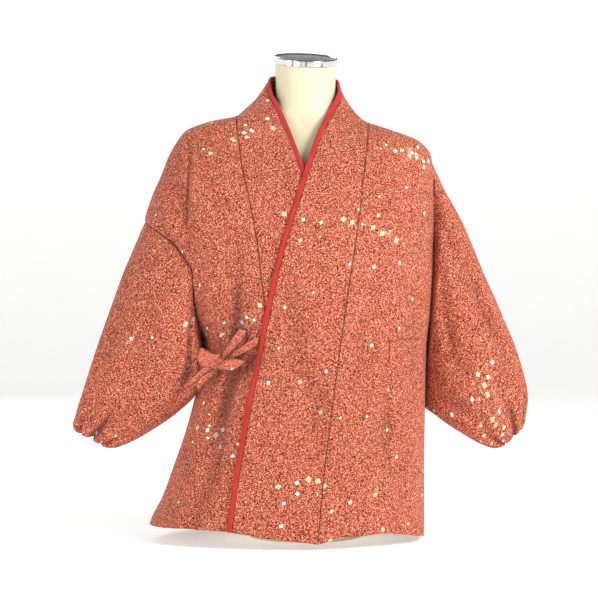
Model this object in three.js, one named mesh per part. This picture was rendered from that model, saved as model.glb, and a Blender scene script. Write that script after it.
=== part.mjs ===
import * as THREE from 'three';

// Kimono top on a limbless dress form. Sizes in millimetres.
// X runs to the wearer's left, the front faces -Y, Z is up.

const DATUM_Z = 5;            // garment datum above the underside of the foot
const WALL = 1.3;             // cloth of body, sleeves and pocket
const COLLAR_WALL = 1.7;      // collar cloth
const SEAM = 0.35;            // space between two sewn pieces
const LAP = 3.6;              // left front stands this far over the right
const ROUND = 2.3;            // squareness of the body's level section
const SIDE_ROWS = 9;          // rows from hem to armpit
const ARM_ROWS = 20;          // rows along one half of an armhole
const FRONT_COLS = 10;
const RIDGE_ROWS = 4;         // rows of the back along the shoulder
const FORM_SIDES = 28;
const NECK_ROWS = 8;          // collar rows from shoulder to centre back
const COLLAR_COLS = 4;
const SLEEVE_RINGS = 11;
const GATHERS = 10;           // gathers round each cuff
const BINDING_WIDTH = 7;
const BINDING_WALL = 2.5;
const BINDING_PROUD = 0.4;
const POCKET_GAP = 0.9;       // under the pocket, clear of the panel's facets
const NECK_Y = 12;
const CAP_HEIGHT = 10;
const CAP_LEAN = 0.255;       // rise of the neck's top per mm backwards
const CAP_SIDE = -0.045;      // rise of the neck's top per mm to the left

const ROWS = SIDE_ROWS + ARM_ROWS;

// Level sections of the body: height, side edges, depth before and behind.
const BODY = table('z left right front back', [
  [-10, -237, 177.5, 138, 128],
  [17, -233.5, 177.5, 138, 128],
  [59, -214, 177.5, 136, 127],
  [108.5, -196, 177.5, 134, 126],
  [156.5, -179.5, 178, 131, 125],
  [216.5, -163, 178.8, 127, 123],
  [254, -154, 179.5, 125, 121],
  [284, -151, 180.5, 124, 120],
  [334, -174, 186.5, 124, 119],
  [394, -206, 190.5, 124, 119],
  [440, -230, 191.5, 122, 120],
  [468.5, -241, 192, 117, 121],
  [497.5, -233.5, 192, 109, 122],
  [539, -216, 192, 93, 121],
  [567.5, -205, 188, 78, 117],
  [588.5, -193, 171, 64, 112],
  [605, -179.5, 131, 52, 105],
  [611, -167.5, 113, 47, 102],
  [620, -139, 88, 39, 97],
  [626, -107.5, 78, 33, 92],
  [635, -92, 65, 22, 86],
  [647, -74, 56, 12, 78],
]);

// Height of the hem across the front and across the back.
const HEM_FRONT = table('x z', [
  [-240, 18], [-168, 21.6], [-138, 21.4], [-112, 21], [-65, 13], [-23, 8.3],
  [8.5, 3], [45, 11.8], [65, 14.3], [113, 15.8], [143, 11.3], [180, 0],
]);
const HEM_BACK = table('x z', [
  [-240, 18], [-205, 8], [-175, 0], [-120, 3], [0, 6], [100, 5], [180, 0],
]);

// Soft folds: place on the body, run up and across, depth and width.
const FRONT_FOLDS = table('x z runX runZ depth width', [
  [-103, 330, 0.03, 62, 6, 12],
  [-122, 188, 0.2, 82, 7, 15],
  [-150, 60, 0.45, 75, 5, 15],
  [-178, 480, -0.2, 90, 5, 13],
  [130, 330, 0.08, 120, -3.5, 20],
  [152, 250, 0.03, 150, 3.5, 13],
]);
const BACK_FOLDS = table('x z runX runZ depth width', [
  [-150, 130, 0.25, 120, 7, 20],
  [-90, 60, 0.12, 110, 5, 17],
  [-20, 90, -0.05, 150, 5.5, 20],
  [62, 70, -0.1, 120, 6, 18],
  [125, 160, -0.12, 140, 5, 17],
  [-165, 440, -0.35, 80, 6, 16],
  [150, 450, 0.1, 100, 5.5, 16],
]);

// Armhole seams, armpit to shoulder, on the front and back of the body.
const ARMHOLE = {
  rightFront: [
    [-151, 284], [-155, 300], [-159, 319], [-163.6, 351.5], [-165.3, 393.6],
    [-175.6, 411], [-192, 433], [-213.6, 449], [-231, 461], [-241, 468.5],
  ],
  rightBack: [
    [-151, 284], [-155, 305], [-163, 335], [-172, 365], [-182, 394],
    [-194, 420], [-208, 440], [-224, 455], [-235, 463], [-241, 468.5],
  ],
  leftFront: [
    [180.5, 284], [184, 305], [186, 334], [188.5, 380], [190, 430],
    [190.6, 470], [190.7, 505], [190.5, 530], [189.6, 549], [190.2, 556],
  ],
  leftBack: [
    [180.5, 284], [178, 305], [176, 335], [175, 380], [174, 430],
    [174, 470], [176, 505], [180, 530], [185, 547], [190.2, 556],
  ],
};

// Collar stations from hem to shoulder to centre back: seam line, then edge.
// A missing depth is taken from the body below.
const NONE = null;
const COLLAR_LEFT = table('sx sy sz ex ey ez', [
  [17, NONE, 4, -113.3, NONE, 21],
  [22, NONE, 64, -105, NONE, 88],
  [28.4, NONE, 126.6, -94.5, NONE, 151],
  [36.5, NONE, 188, -84, NONE, 210],
  [44.5, NONE, 250, -72, NONE, 267],
  [53, NONE, 312, -62, NONE, 318],
  [62, NONE, 374, -50.5, NONE, 372],
  [71.3, NONE, 434, -37, NONE, 428],
  [79.4, NONE, 494, -17, NONE, 492],
  [86, NONE, 548, 1.5, NONE, 552],
  [90.6, NONE, 586, 19, -60, 603],
  [92.5, NONE, 607, 36, -33, 636],
  [93.5, 0, 617.9, 49, -3, 666],
  [78.5, 38, 621, 49.5, 20, 683],
  [61, 68, 625.5, 39.5, 44, 690],
  [33, 84, 629, 21.5, 58, 693],
  [0, 88, 630, 0, 63, 694],
]);
const COLLAR_RIGHT = table('sx sy sz ex ey ez', [
  [-20, NONE, 8, 111.4, NONE, 15.8],
  [-25, NONE, 64, 105, NONE, 68],
  [-31.4, NONE, 126.6, 96, NONE, 126],
  [-39.5, NONE, 188, 85, NONE, 188],
  [-47.5, NONE, 250, 72.5, NONE, 250],
  [-55.5, NONE, 312, 59, NONE, 312],
  [-63, NONE, 374, 46.5, NONE, 374],
  [-70.3, NONE, 434, 33, NONE, 434],
  [-81, NONE, 491, 15, NONE, 492],
  [-93, NONE, 546, -5, NONE, 552],
  [-99.5, NONE, 590, -22, -57, 599],
  [-102.5, NONE, 614, -37, -32, 636],
  [-101.5, 0, 629.5, -51.5, -3, 667],
  [-92, 38, 629.5, -53.5, 20, 688],
  [-66, 70, 630, -41, 44, 693],
  [-33, 84, 630, -22, 58, 694],
  [0, 88, 630, 0, 63, 694],
]);
const RIDGE_STATION = 12;

// Sleeve sections: outer and inner end, their depths, fullness before, behind.
const SLEEVE_RIGHT = table('xo zo xi zi yo yi front back', [
  [-266.5, 408.5, -149.5, 243.5, 0, -38, 62, 64],
  [-290.5, 344, -161.5, 213.5, -2, -28, 58, 60],
  [-311.5, 284, -191.5, 183.5, -4, -14, 53, 54],
  [-331, 224, -230.5, 156.5, -5, -8, 46, 46],
  [-343, 184, -262, 139, -5, -6, 38, 38],
  [-347, 158, -294, 129, -5, -5, 26, 26],
]);
const SLEEVE_LEFT = table('xo zo xi zi yo yi front back', [
  [211, 512, 190, 264, 4, -4, 50, 60],
  [236, 466, 185, 238, 2, -8, 56, 60],
  [265, 396, 186, 202, 0, -12, 58, 58],
  [296, 325, 199, 179, -3, -12, 54, 54],
  [320, 264, 229, 155, -4, -8, 46, 46],
  [333, 206, 264, 136, -5, -5, 37, 37],
  [326, 160, 290, 129, -5, -5, 25, 25],
]);

// Dress form sections: height, half widths, depths before and behind y = 0.
const FORM = table('z right left front back', [
  [-5, 84, 84, 55, 100],
  [36, 84, 84, 55, 100],
  [40, 142, 142, 92, 92],
  [120, 144, 144, 97, 96],
  [210, 130, 130, 90, 90],
  [300, 118, 118, 84, 84],
  [370, 128, 128, 93, 92],
  [440, 142, 142, 101, 100],
  [500, 150, 150, 93, 103],
  [545, 150, 150, 72, 102],
  [576, 145, 146, 56, 98],
  [593.5, 137, 133, 47, 93],
  [604.6, 128, 116, 41, 88],
  [612.6, 117, 97, 37, 83],
  [619.6, 101, 76, 35, 77],
  [626.6, 78, 61, 35, 70],
  [637, 54, 51, 34, 61],
  [652, 45, 45, 33, 57],
  [680, 45, 45, 33, 57],
  [708, 47, 47, 35, 59],
]);

// Colours.
const CLOTH = new THREE.MeshStandardMaterial({ color: 0xc8574a, roughness: 0.9 });
const TRIM = new THREE.MeshStandardMaterial({ color: 0xc4352c, roughness: 0.85 });
const CREAM = new THREE.MeshStandardMaterial({ color: 0xf0e8d4, roughness: 0.5 });
const STEEL = new THREE.MeshStandardMaterial({
  color: 0xc9cccf, roughness: 0.15, metalness: 1,
});

const group = new THREE.Group();
group.name = 'kimono_top_on_dress_form';

// ---- small tools ----

function table(names, rows) {
  const out = {};
  names.split(' ').forEach((name, i) => {
    out[name] = rows.map((row) => row[i]);
  });
  return out;
}

function mix(a, b, t) {
  return a + (b - a) * t;
}

function clamp(v, low, high) {
  return Math.min(high, Math.max(low, v));
}

// Eased step from 0 at `low` to 1 at `high`; low may be the larger.
function smooth(low, high, v) {
  const t = clamp((v - low) / (high - low), 0, 1);
  return t * t * (3 - 2 * t);
}

function add(a, b, k = 1) {
  return [a[0] + b[0] * k, a[1] + b[1] * k, a[2] + b[2] * k];
}

function sub(a, b) {
  return add(a, b, -1);
}

function cross(a, b) {
  return [
    a[1] * b[2] - a[2] * b[1],
    a[2] * b[0] - a[0] * b[2],
    a[0] * b[1] - a[1] * b[0],
  ];
}

function dot(a, b) {
  return a[0] * b[0] + a[1] * b[1] + a[2] * b[2];
}

function unit(a) {
  const length = Math.hypot(a[0], a[1], a[2]) || 1;
  return [a[0] / length, a[1] / length, a[2] / length];
}

// Smooth curve through ys over rising xs that never overshoots.
function curve(xs, ys, x) {
  const n = xs.length;
  if (x <= xs[0]) return ys[0];
  if (x >= xs[n - 1]) return ys[n - 1];
  let i = 0;
  while (xs[i + 1] < x) i += 1;
  const step = (k) => xs[k + 1] - xs[k];
  const rise = (k) => (ys[k + 1] - ys[k]) / step(k);
  const slope = (k) => {
    if (k === 0) return rise(0);
    if (k === n - 1) return rise(n - 2);
    if (rise(k - 1) * rise(k) <= 0) return 0;
    const w1 = 2 * step(k) + step(k - 1);
    const w2 = step(k) + 2 * step(k - 1);
    return (w1 + w2) / (w1 / rise(k - 1) + w2 / rise(k));
  };
  const h = step(i);
  const t = (x - xs[i]) / h;
  const t2 = t * t;
  const t3 = t2 * t;
  return (2 * t3 - 3 * t2 + 1) * ys[i] + (t3 - 2 * t2 + t) * h * slope(i)
    + (3 * t2 - 2 * t3) * ys[i + 1] + (t3 - t2) * h * slope(i + 1);
}

// Value at station p of a list, stations 0, 1, 2 ...
function station(values, p) {
  return curve(values.map((_, i) => i), values, p);
}

// Point at share t of a plane polyline, by length, rounded off.
function along(points, t) {
  const at = [0];
  for (let i = 1; i < points.length; i += 1) {
    const dx = points[i][0] - points[i - 1][0];
    const dz = points[i][1] - points[i - 1][1];
    at.push(at[i - 1] + Math.hypot(dx, dz));
  }
  const d = t * at[at.length - 1];
  return [
    curve(at, points.map((p) => p[0]), d),
    curve(at, points.map((p) => p[1]), d),
  ];
}

// ---- solids from grids ----

// Closed solid from an outer and an inner grid of points.
// With `around` the rows are rings that join end to end.
function shell(name, outer, inner, material, around = false) {
  const rows = outer.length;
  const cols = outer[0].length;
  const positions = [];
  const index = [];
  const id = (side, i, j) => side * rows * cols + i * cols + (j % cols);
  [outer, inner].forEach((grid) => {
    grid.forEach((row) => row.forEach((p) => positions.push(p[0], p[1], p[2] + DATUM_Z)));
  });
  const quad = (a, b, c, d) => index.push(a, b, c, a, c, d);
  const last = around ? cols : cols - 1;
  for (let i = 0; i < rows - 1; i += 1) {
    for (let j = 0; j < last; j += 1) {
      quad(id(0, i, j), id(0, i, j + 1), id(0, i + 1, j + 1), id(0, i + 1, j));
      quad(id(1, i, j), id(1, i + 1, j), id(1, i + 1, j + 1), id(1, i, j + 1));
    }
  }
  for (let j = 0; j < last; j += 1) {
    quad(id(0, 0, j + 1), id(0, 0, j), id(1, 0, j), id(1, 0, j + 1));
    quad(id(0, rows - 1, j), id(0, rows - 1, j + 1), id(1, rows - 1, j + 1), id(1, rows - 1, j));
  }
  if (!around) {
    for (let i = 0; i < rows - 1; i += 1) {
      quad(id(0, i, 0), id(0, i + 1, 0), id(1, i + 1, 0), id(1, i, 0));
      quad(id(0, i + 1, cols - 1), id(0, i, cols - 1), id(1, i, cols - 1), id(1, i + 1, cols - 1));
    }
  }
  addMesh(name, positions, index, material);
}

function addMesh(name, positions, index, material) {
  let volume = 0;
  for (let i = 0; i < index.length; i += 3) {
    const p = [0, 1, 2].map((k) => positions.slice(index[i + k] * 3, index[i + k] * 3 + 3));
    volume += dot(p[0], cross(p[1], p[2]));
  }
  if (volume < 0) {
    for (let i = 0; i < index.length; i += 3) {
      const keep = index[i + 1];
      index[i + 1] = index[i + 2];
      index[i + 2] = keep;
    }
  }
  const geometry = new THREE.BufferGeometry();
  geometry.setAttribute('position', new THREE.Float32BufferAttribute(positions, 3));
  geometry.setIndex(index);
  geometry.computeVertexNormals();
  const mesh = new THREE.Mesh(geometry, material);
  mesh.name = name;
  group.add(mesh);
}

// Solid through rings of points, closed flat at both ends.
function loft(name, rings, material) {
  const n = rings[0].length;
  const positions = [];
  const index = [];
  rings.forEach((ring) => ring.forEach((p) => positions.push(p[0], p[1], p[2] + DATUM_Z)));
  for (let i = 0; i < rings.length - 1; i += 1) {
    for (let j = 0; j < n; j += 1) {
      const k = (j + 1) % n;
      index.push(i * n + j, i * n + k, (i + 1) * n + k);
      index.push(i * n + j, (i + 1) * n + k, (i + 1) * n + j);
    }
  }
  const top = (rings.length - 1) * n;
  for (let j = 1; j < n - 1; j += 1) {
    index.push(0, j + 1, j);
    index.push(top, top + j, top + j + 1);
  }
  addMesh(name, positions, index, material);
}

// Outward normals of a grid; `out` gives a rough outward direction at a point.
function gridNormals(grid, out, around = false) {
  const rows = grid.length;
  const cols = grid[0].length;
  return grid.map((row, i) => row.map((p, j) => {
    const up = sub(grid[Math.min(i + 1, rows - 1)][j], grid[Math.max(i - 1, 0)][j]);
    const right = around ? row[(j + 1) % cols] : row[Math.min(j + 1, cols - 1)];
    const left = around ? row[(j + cols - 1) % cols] : row[Math.max(j - 1, 0)];
    const n = unit(cross(sub(right, left), up));
    return dot(n, out(p)) < 0 ? [-n[0], -n[1], -n[2]] : n;
  }));
}

function offset(grid, normals, distance) {
  return grid.map((row, i) => row.map((p, j) => add(p, normals[i][j], distance)));
}

// ---- the body's form ----

function section(z) {
  const left = curve(BODY.z, BODY.left, z);
  const right = curve(BODY.z, BODY.right, z);
  return {
    middle: (left + right) / 2,
    half: (right - left) / 2,
    front: curve(BODY.z, BODY.front, z),
    back: curve(BODY.z, BODY.back, z),
  };
}

function foldDepth(folds, x, z) {
  let sum = 0;
  for (let i = 0; i < folds.x.length; i += 1) {
    const rise = (z - folds.z[i]) / folds.runZ[i];
    const side = (x - folds.x[i] - folds.runX[i] * (z - folds.z[i])) / folds.width[i];
    sum += folds.depth[i] * Math.exp(-side * side - rise * rise);
  }
  return sum;
}

// Depth of the body below (x, z): away from y = 0 on the given side.
function depth(x, z, side) {
  const cut = section(z);
  const u = Math.min(1, Math.abs((x - cut.middle) / cut.half));
  const full = side > 0 ? cut.back : cut.front;
  const open = (1 - u ** ROUND) ** (1 / ROUND);
  const folds = foldDepth(side > 0 ? BACK_FOLDS : FRONT_FOLDS, x, z);
  return SEAM / 2 + full * open - folds * smooth(0, 0.6, open);
}

// How far the left front is raised over the right, fading to the shoulder.
function frontLift(x, z) {
  return LAP * (1 - smooth(118, 165, x)) * (1 - smooth(572, 612, z));
}

function sideEdge(sign, z) {
  return curve(BODY.z, sign < 0 ? BODY.left : BODY.right, z);
}

function acrossOf(x, z) {
  const cut = section(z);
  return Math.asin(clamp((x - cut.middle) / cut.half, -1, 1)) / (Math.PI / 2);
}

// Point on the body at share s across (-1 to 1), height z, side -1 front.
function bodyPoint(s, z, side, lifted) {
  const cut = section(z);
  const x = cut.middle + cut.half * Math.sin(s * Math.PI / 2);
  const lift = lifted ? frontLift(x, z) : 0;
  return [x, side * (depth(x, z, side) + lift), z];
}

// Outward normal of the body at a point of its surface.
function bodyNormal(p, side, lifted) {
  const h = 0.4;
  const at = (x, z) => depth(x, z, side) + (lifted ? frontLift(x, z) : 0);
  const slopeX = (at(p[0] + h, p[2]) - at(p[0] - h, p[2])) / (2 * h);
  const slopeZ = (at(p[0], p[2] + h) - at(p[0], p[2] - h)) / (2 * h);
  return unit([-slopeX, side, -slopeZ]);
}

// Patch with four edge curves given as functions of 0..1 returning [s, z].
function coons(bottom, top, left, right, us, vs) {
  const c00 = bottom(0);
  const c10 = bottom(1);
  const c01 = top(0);
  const c11 = top(1);
  return vs.map((v) => us.map((u) => [0, 1].map((k) => (
    (1 - v) * bottom(u)[k] + v * top(u)[k] + (1 - u) * left(v)[k] + u * right(v)[k]
    - (1 - u) * (1 - v) * c00[k] - u * (1 - v) * c10[k]
    - (1 - u) * v * c01[k] - u * v * c11[k]
  ))));
}

function shares(count) {
  return Array.from({ length: count + 1 }, (_, i) => i / count);
}

// Outer edge of a panel of so many rows: up the side seam, along the
// armhole and, in the back, on along the shoulder line.
function outerEdge(name, hem, sign, rows, neckZ = 0) {
  const seam = ARMHOLE[name];
  const [, shoulderZ] = seam[seam.length - 1];
  const shoulder = neckZ ? ridge(sign, shoulderZ, neckZ) : null;
  return (v) => {
    const row = Math.round(v * rows);
    if (row <= SIDE_ROWS) return [sign, mix(hem, seam[0][1], row / SIDE_ROWS)];
    if (row > ROWS) return shoulder((row - ROWS) / RIDGE_ROWS);
    const [x, z] = along(seam, (row - SIDE_ROWS) / ARM_ROWS);
    return [row === ROWS ? sign : acrossOf(x, z), z];
  };
}

// Shoulder line, at the side edge all the way up.
function ridge(sign, fromZ, toZ) {
  const line = shares(30).map((t) => mix(fromZ, toZ, t)).map((z) => [sideEdge(sign, z), z]);
  return (t) => [sign, clamp(along(line, t)[1], fromZ, toZ)];
}

// Hem from the side edge to toX.
function hemEdge(hem, toX, sign) {
  const end = acrossOf(toX, curve(hem.x, hem.z, toX));
  return (t) => {
    const s = mix(sign, end, t);
    const cut = section(curve(hem.x, hem.z, toX));
    const x = cut.middle + cut.half * Math.sin(s * Math.PI / 2);
    return [s, curve(hem.x, hem.z, x)];
  };
}

function collarSeam(collar, p) {
  return [station(collar.sx, p), station(collar.sz, p)];
}

function frontPanel(name, seamName, collar, sign, lifted) {
  const hemZ = curve(HEM_FRONT.x, HEM_FRONT.z, sideEdge(sign, 10));
  const shoulder = ARMHOLE[seamName][ARMHOLE[seamName].length - 1];
  const bottom = hemEdge(HEM_FRONT, collar.sx[0], sign);
  const outer = outerEdge(seamName, hemZ, sign, ROWS);
  const inner = (v) => {
    const [x, z] = collarSeam(collar, v * RIDGE_STATION);
    return [v > 1 - 1e-6 ? sign : acrossOf(x, z), z];
  };
  const top = ridge(sign, shoulder[1], collar.sz[RIDGE_STATION]);
  const us = shares(FRONT_COLS);
  const flat = coons(bottom, top, outer, inner, us, shares(ROWS));
  const grid = flat.map((row) => row.map(([s, z]) => bodyPoint(s, z, -1, lifted)));
  const normals = grid.map((row) => row.map((p) => bodyNormal(p, -1, lifted)));
  flatten(grid, normals);
  shell(name, grid, offset(grid, normals, -WALL), CLOTH);
  return { grid, normals };
}

// Points on the side and shoulder lines get walls square to the seam.
function flatten(grid, normals) {
  grid.forEach((row, i) => row.forEach((p, j) => {
    if (Math.abs(Math.abs(p[1]) - SEAM / 2) > 0.02) return;
    normals[i][j] = unit([normals[i][j][0], 0, normals[i][j][2]]);
  }));
}

function backPanel() {
  const rows = ROWS + RIDGE_ROWS;
  const hemRight = curve(HEM_BACK.x, HEM_BACK.z, sideEdge(-1, 10));
  const hemLeft = curve(HEM_BACK.x, HEM_BACK.z, sideEdge(1, 10));
  const neckRight = COLLAR_RIGHT.sz[RIDGE_STATION];
  const neckLeft = COLLAR_LEFT.sz[RIDGE_STATION];
  const cols = 2 * NECK_ROWS;
  const neckline = (t) => {
    const k = Math.round(t * cols);
    const onRight = k <= NECK_ROWS;
    const row = onRight ? k : cols - k;
    const point = neckPoint(onRight ? COLLAR_RIGHT : COLLAR_LEFT, row);
    if (row === 0) return [onRight ? -1 : 1, point[2]];
    return [acrossOf(point[0], point[2]), point[2]];
  };
  const hem = (t) => {
    const s = mix(-1, 1, t);
    const cut = section(5);
    const x = cut.middle + cut.half * Math.sin(s * Math.PI / 2);
    return [s, curve(HEM_BACK.x, HEM_BACK.z, x)];
  };
  const flat = coons(
    hem, neckline, outerEdge('rightBack', hemRight, -1, rows, neckRight),
    outerEdge('leftBack', hemLeft, 1, rows, neckLeft), shares(cols), shares(rows),
  );
  const grid = flat.map((row) => row.map(([s, z]) => bodyPoint(s, z, 1, false)));
  const normals = grid.map((row) => row.map((p) => bodyNormal(p, 1, false)));
  flatten(grid, normals);
  shell('back', grid, offset(grid, normals, -WALL), CLOTH);
  return { grid, normals };
}

// Point of the back neckline at a collar row behind the shoulder.
function neckPoint(collar, row) {
  const p = RIDGE_STATION + row * (collar.sx.length - 1 - RIDGE_STATION) / NECK_ROWS;
  const x = station(collar.sx, p);
  const z = station(collar.sz, p);
  if (row === 0) return [x, 0, z];
  return [x, depth(x, z, 1), z];
}

// ---- collar and binding ----

// Rows of [seam point, edge point, standing share] from hem to centre back.
function collarRows(collar, lifted) {
  const rows = [];
  for (let i = 0; i <= ROWS + NECK_ROWS; i += 1) {
    const behind = i > ROWS;
    const last = collar.sx.length - 1;
    const p = behind
      ? RIDGE_STATION + (i - ROWS) * (last - RIDGE_STATION) / NECK_ROWS
      : i * RIDGE_STATION / ROWS;
    const sz = station(collar.sz, p);
    const sx = i === ROWS ? sideEdge(Math.sign(collar.sx[RIDGE_STATION]), sz)
      : station(collar.sx, p);
    let sy = behind ? depth(sx, sz, 1) : -depth(sx, sz, -1);
    if (i === ROWS) sy = 0;
    if (lifted && !behind) sy -= frontLift(sx, sz);
    const ex = station(collar.ex, p);
    const ez = station(collar.ez, p);
    const lap = lifted ? frontLift(ex, ez) : 0;
    let ey = -depth(ex, ez, -1) - lap;
    if (p > 9) {
      const ys = collar.ey.map((y, k) => (y === NONE
        ? -depth(collar.ex[k], collar.ez[k], -1) - lap : y));
      ey = mix(ey, station(ys, p), smooth(9, 9.8, p));
    }
    rows.push({ seam: [sx, sy, sz], edge: [ex, ey, ez], stand: smooth(8.5, 11.5, p), lap });
  }
  return rows;
}

// Point of a collar row at distance d from the seam line.
function collarPoint(row, d, sag) {
  const across = sub(row.edge, row.seam);
  const r = d / Math.hypot(across[0], across[1], across[2]);
  const straight = add(row.seam, across, r);
  const bow = 4 * r * (1 - r);
  const stood = add(straight, [0, 0, -sag * bow * row.stand]);
  if (row.stand >= 1) return stood;
  const onBody = [straight[0], -depth(straight[0], straight[2], -1) - row.lap, straight[2]];
  const skew = r * (row.edge[1] + depth(row.edge[0], row.edge[2], -1) + row.lap)
    + (1 - r) * (row.seam[1] + depth(row.seam[0], row.seam[2], -1) + row.lap);
  onBody[1] += skew;
  return stood.map((v, k) => mix(onBody[k], v, row.stand));
}

function collar(side, stations, lifted, sag, seamNormals) {
  const rows = collarRows(stations, lifted);
  const out = (p) => (p[2] < 560 ? [0, -1, 0] : [p[0], p[1] - 20, 60]);
  const grid = rows.map((row) => {
    const a = sub(row.edge, row.seam);
    const width = Math.hypot(a[0], a[1], a[2]);
    const cloth = shares(COLLAR_COLS).map((t) => mix(SEAM, width - BINDING_WIDTH - SEAM, t));
    return [...cloth, width - BINDING_WIDTH, width].map((d) => collarPoint(row, d, sag));
  });
  const normals = gridNormals(grid, out);
  const last = grid.length - 1;
  const toward = side === 'left' ? 1 : -1;
  grid[last] = grid[last].map((p) => [toward * SEAM / 2, p[1], p[2]]);
  normals[last] = normals[last].map((n) => unit([0, n[1], n[2]]));
  normals.forEach((row, i) => {
    row[0] = seamNormals[i];
    const shared = unit(add(row[COLLAR_COLS], row[COLLAR_COLS + 1]));
    row[COLLAR_COLS] = shared;
    row[COLLAR_COLS + 1] = shared;
  });
  const part = (rowsIn, from, to) => rowsIn.map((row) => row.slice(from, to));
  const cloth = part(grid, 0, COLLAR_COLS + 1);
  const clothNormals = part(normals, 0, COLLAR_COLS + 1);
  shell(`collar_${side}`, cloth, offset(cloth, clothNormals, -COLLAR_WALL), CLOTH);
  const trimNormals = part(normals, COLLAR_COLS + 1, COLLAR_COLS + 3);
  const trim = offset(part(grid, COLLAR_COLS + 1, COLLAR_COLS + 3), trimNormals, BINDING_PROUD);
  shell(`binding_${side}`, trim, offset(trim, trimNormals, -BINDING_WALL), TRIM);
}

// Normals of the panels along a collar's seam, hem to centre back.
function seamNormalsOf(front, back, fromLeft) {
  const down = front.normals.map((row) => row[row.length - 1]);
  const top = back.normals[back.normals.length - 1];
  for (let i = 1; i <= NECK_ROWS; i += 1) {
    down.push(fromLeft ? top[top.length - 1 - i] : top[i]);
  }
  return down;
}

// ---- sleeves ----

// Ring of an armhole: top, down the front edge, armpit, up the back edge.
function armholeRing(front, back, backColumn, sign) {
  const ring = [];
  const count = 2 * ARM_ROWS;
  for (let k = 0; k < count; k += 1) {
    const onFront = k <= ARM_ROWS;
    const row = onFront ? ROWS - k : ROWS - 2 * ARM_ROWS + k;
    const a = front.grid[row][0];
    const b = back.grid[row][backColumn];
    const na = front.normals[row][0];
    const nb = back.normals[row][backColumn];
    if (k === 0 || k === ARM_ROWS) {
      ring.push({ point: a.map((v, i) => (v + b[i]) / 2), normal: unit(add(na, nb)) });
    } else {
      ring.push(onFront ? { point: a, normal: na } : { point: b, normal: nb });
    }
  }
  ring.forEach((r, k) => {
    const run = sub(ring[(k + 1) % count].point, ring[(k + count - 1) % count].point);
    r.away = unit(cross(r.normal, run)).map((v) => v * sign);
  });
  return ring;
}

// Keeps a sleeve point clear of the body's side.
function clearOfBody(p, sign, clearance) {
  const z = Math.min(p[2], 560);
  const cut = section(z);
  const full = (p[1] < 0 ? cut.front + LAP : cut.back) + clearance;
  const v = Math.abs(p[1]) / full;
  if (v >= 1) return p;
  const edge = cut.half * (1 - v ** ROUND) ** (1 / ROUND) + clearance;
  const limit = cut.middle + sign * edge;
  const over = (p[0] - limit) * sign;
  return over >= 0 ? p : [limit, p[1], p[2]];
}

function sleeve(side, sections, ring, sign) {
  const count = ring.length;
  const keyRings = sections.xo.map((_, i) => ring.map((__, k) => {
    const angle = 2 * Math.PI * k / count;
    const t = (1 - Math.cos(angle)) / 2;
    const full = angle < Math.PI ? -sections.front[i] : sections.back[i];
    const bulge = Math.abs(Math.sin(angle)) ** 0.85;
    return [
      mix(sections.xo[i], sections.xi[i], t),
      mix(sections.yo[i], sections.yi[i], t) + full * bulge,
      mix(sections.zo[i], sections.zi[i], t),
    ];
  }));
  const keys = [ring.map((r) => r.point), ...keyRings];
  const grid = [];
  for (let i = 0; i <= SLEEVE_RINGS; i += 1) {
    const p = i * (keys.length - 1) / SLEEVE_RINGS;
    const cuff = smooth(keys.length - 3.2, keys.length - 1, p);
    const row = ring.map((_, k) => {
      let point = [0, 1, 2].map((axis) => station(keys.map((key) => key[k][axis]), p));
      if (i > 0) point = clearOfBody(point, sign, 3 * smooth(0, 1, i));
      return point;
    });
    const middle = row.reduce((sum, q) => add(sum, q, 1 / count), [0, 0, 0]);
    grid.push(row.map((q, k) => {
      const wave = Math.cos(2 * Math.PI * GATHERS * k / count) * (0.75 + 0.25 * Math.cos(1.7 * k));
      return add(q, unit(sub(q, middle)), 3.2 * cuff * wave);
    }));
  }
  const centres = grid.map((row) => row.reduce((s, q) => add(s, q, 1 / count), [0, 0, 0]));
  const turned = ring.map((r, k) => (
    smooth(0.5, -0.2, dot(unit(sub(grid[1][k], r.point)), r.away))));
  grid[0] = ring.map((r, k) => add(r.point, unit(add(r.away, r.normal, turned[k])), SEAM));
  const normals = grid.map((row, i) => {
    const own = gridNormals([grid[Math.max(i - 1, 0)], row, grid[Math.min(i + 1, SLEEVE_RINGS)]],
      (p) => sub(p, centres[i]), true)[1];
    return own;
  });
  normals[0] = ring.map((r, k) => unit(add(r.normal, sub(normals[0][k], r.normal), turned[k])));
  shell(`sleeve_${side}`, grid, offset(grid, normals, -WALL), CLOTH, true);
}

// ---- pocket ----

function pocket(panel) {
  const rows = 8;
  const cols = 8;
  const cut = section(200);
  const from = acrossOf(119.5, 200);
  const to = acrossOf(171, 200);
  const grid = shares(rows).map((v) => shares(cols).map((u) => {
    const x = cut.middle + cut.half * Math.sin(mix(from, to, u) * Math.PI / 2);
    const foot = 109.8 - 14 * smooth(0.55, 1, u);
    const z = mix(foot, 293, v);
    return [x, panelDepth(panel.grid, x, z), z];
  }));
  const normals = gridNormals(grid, () => [0.3, -1, 0]);
  const base = offset(grid, normals, POCKET_GAP);
  shell('pocket', offset(base, normals, WALL), base, CLOTH);
}

// Depth of a panel's facets at (x, z).
function panelDepth(grid, x, z) {
  const area = (a, b, c) => (b[0] - a[0]) * (c[2] - a[2]) - (c[0] - a[0]) * (b[2] - a[2]);
  const at = [x, 0, z];
  for (let i = 0; i < grid.length - 1; i += 1) {
    for (let j = 0; j < grid[0].length - 1; j += 1) {
      const [a, b, c, d] = [grid[i][j], grid[i][j + 1], grid[i + 1][j + 1], grid[i + 1][j]];
      for (const [p, q, r] of [[a, b, c], [a, c, d]]) {
        const whole = area(p, q, r);
        const parts = [area(at, q, r), area(p, at, r), area(p, q, at)].map((v) => v / whole);
        if (Math.min(...parts) > -1e-6) {
          return parts[0] * p[1] + parts[1] * q[1] + parts[2] * r[1];
        }
      }
    }
  }
  throw new Error(`no panel at ${x}, ${z}`);
}

// ---- ties and bow ----

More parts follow.
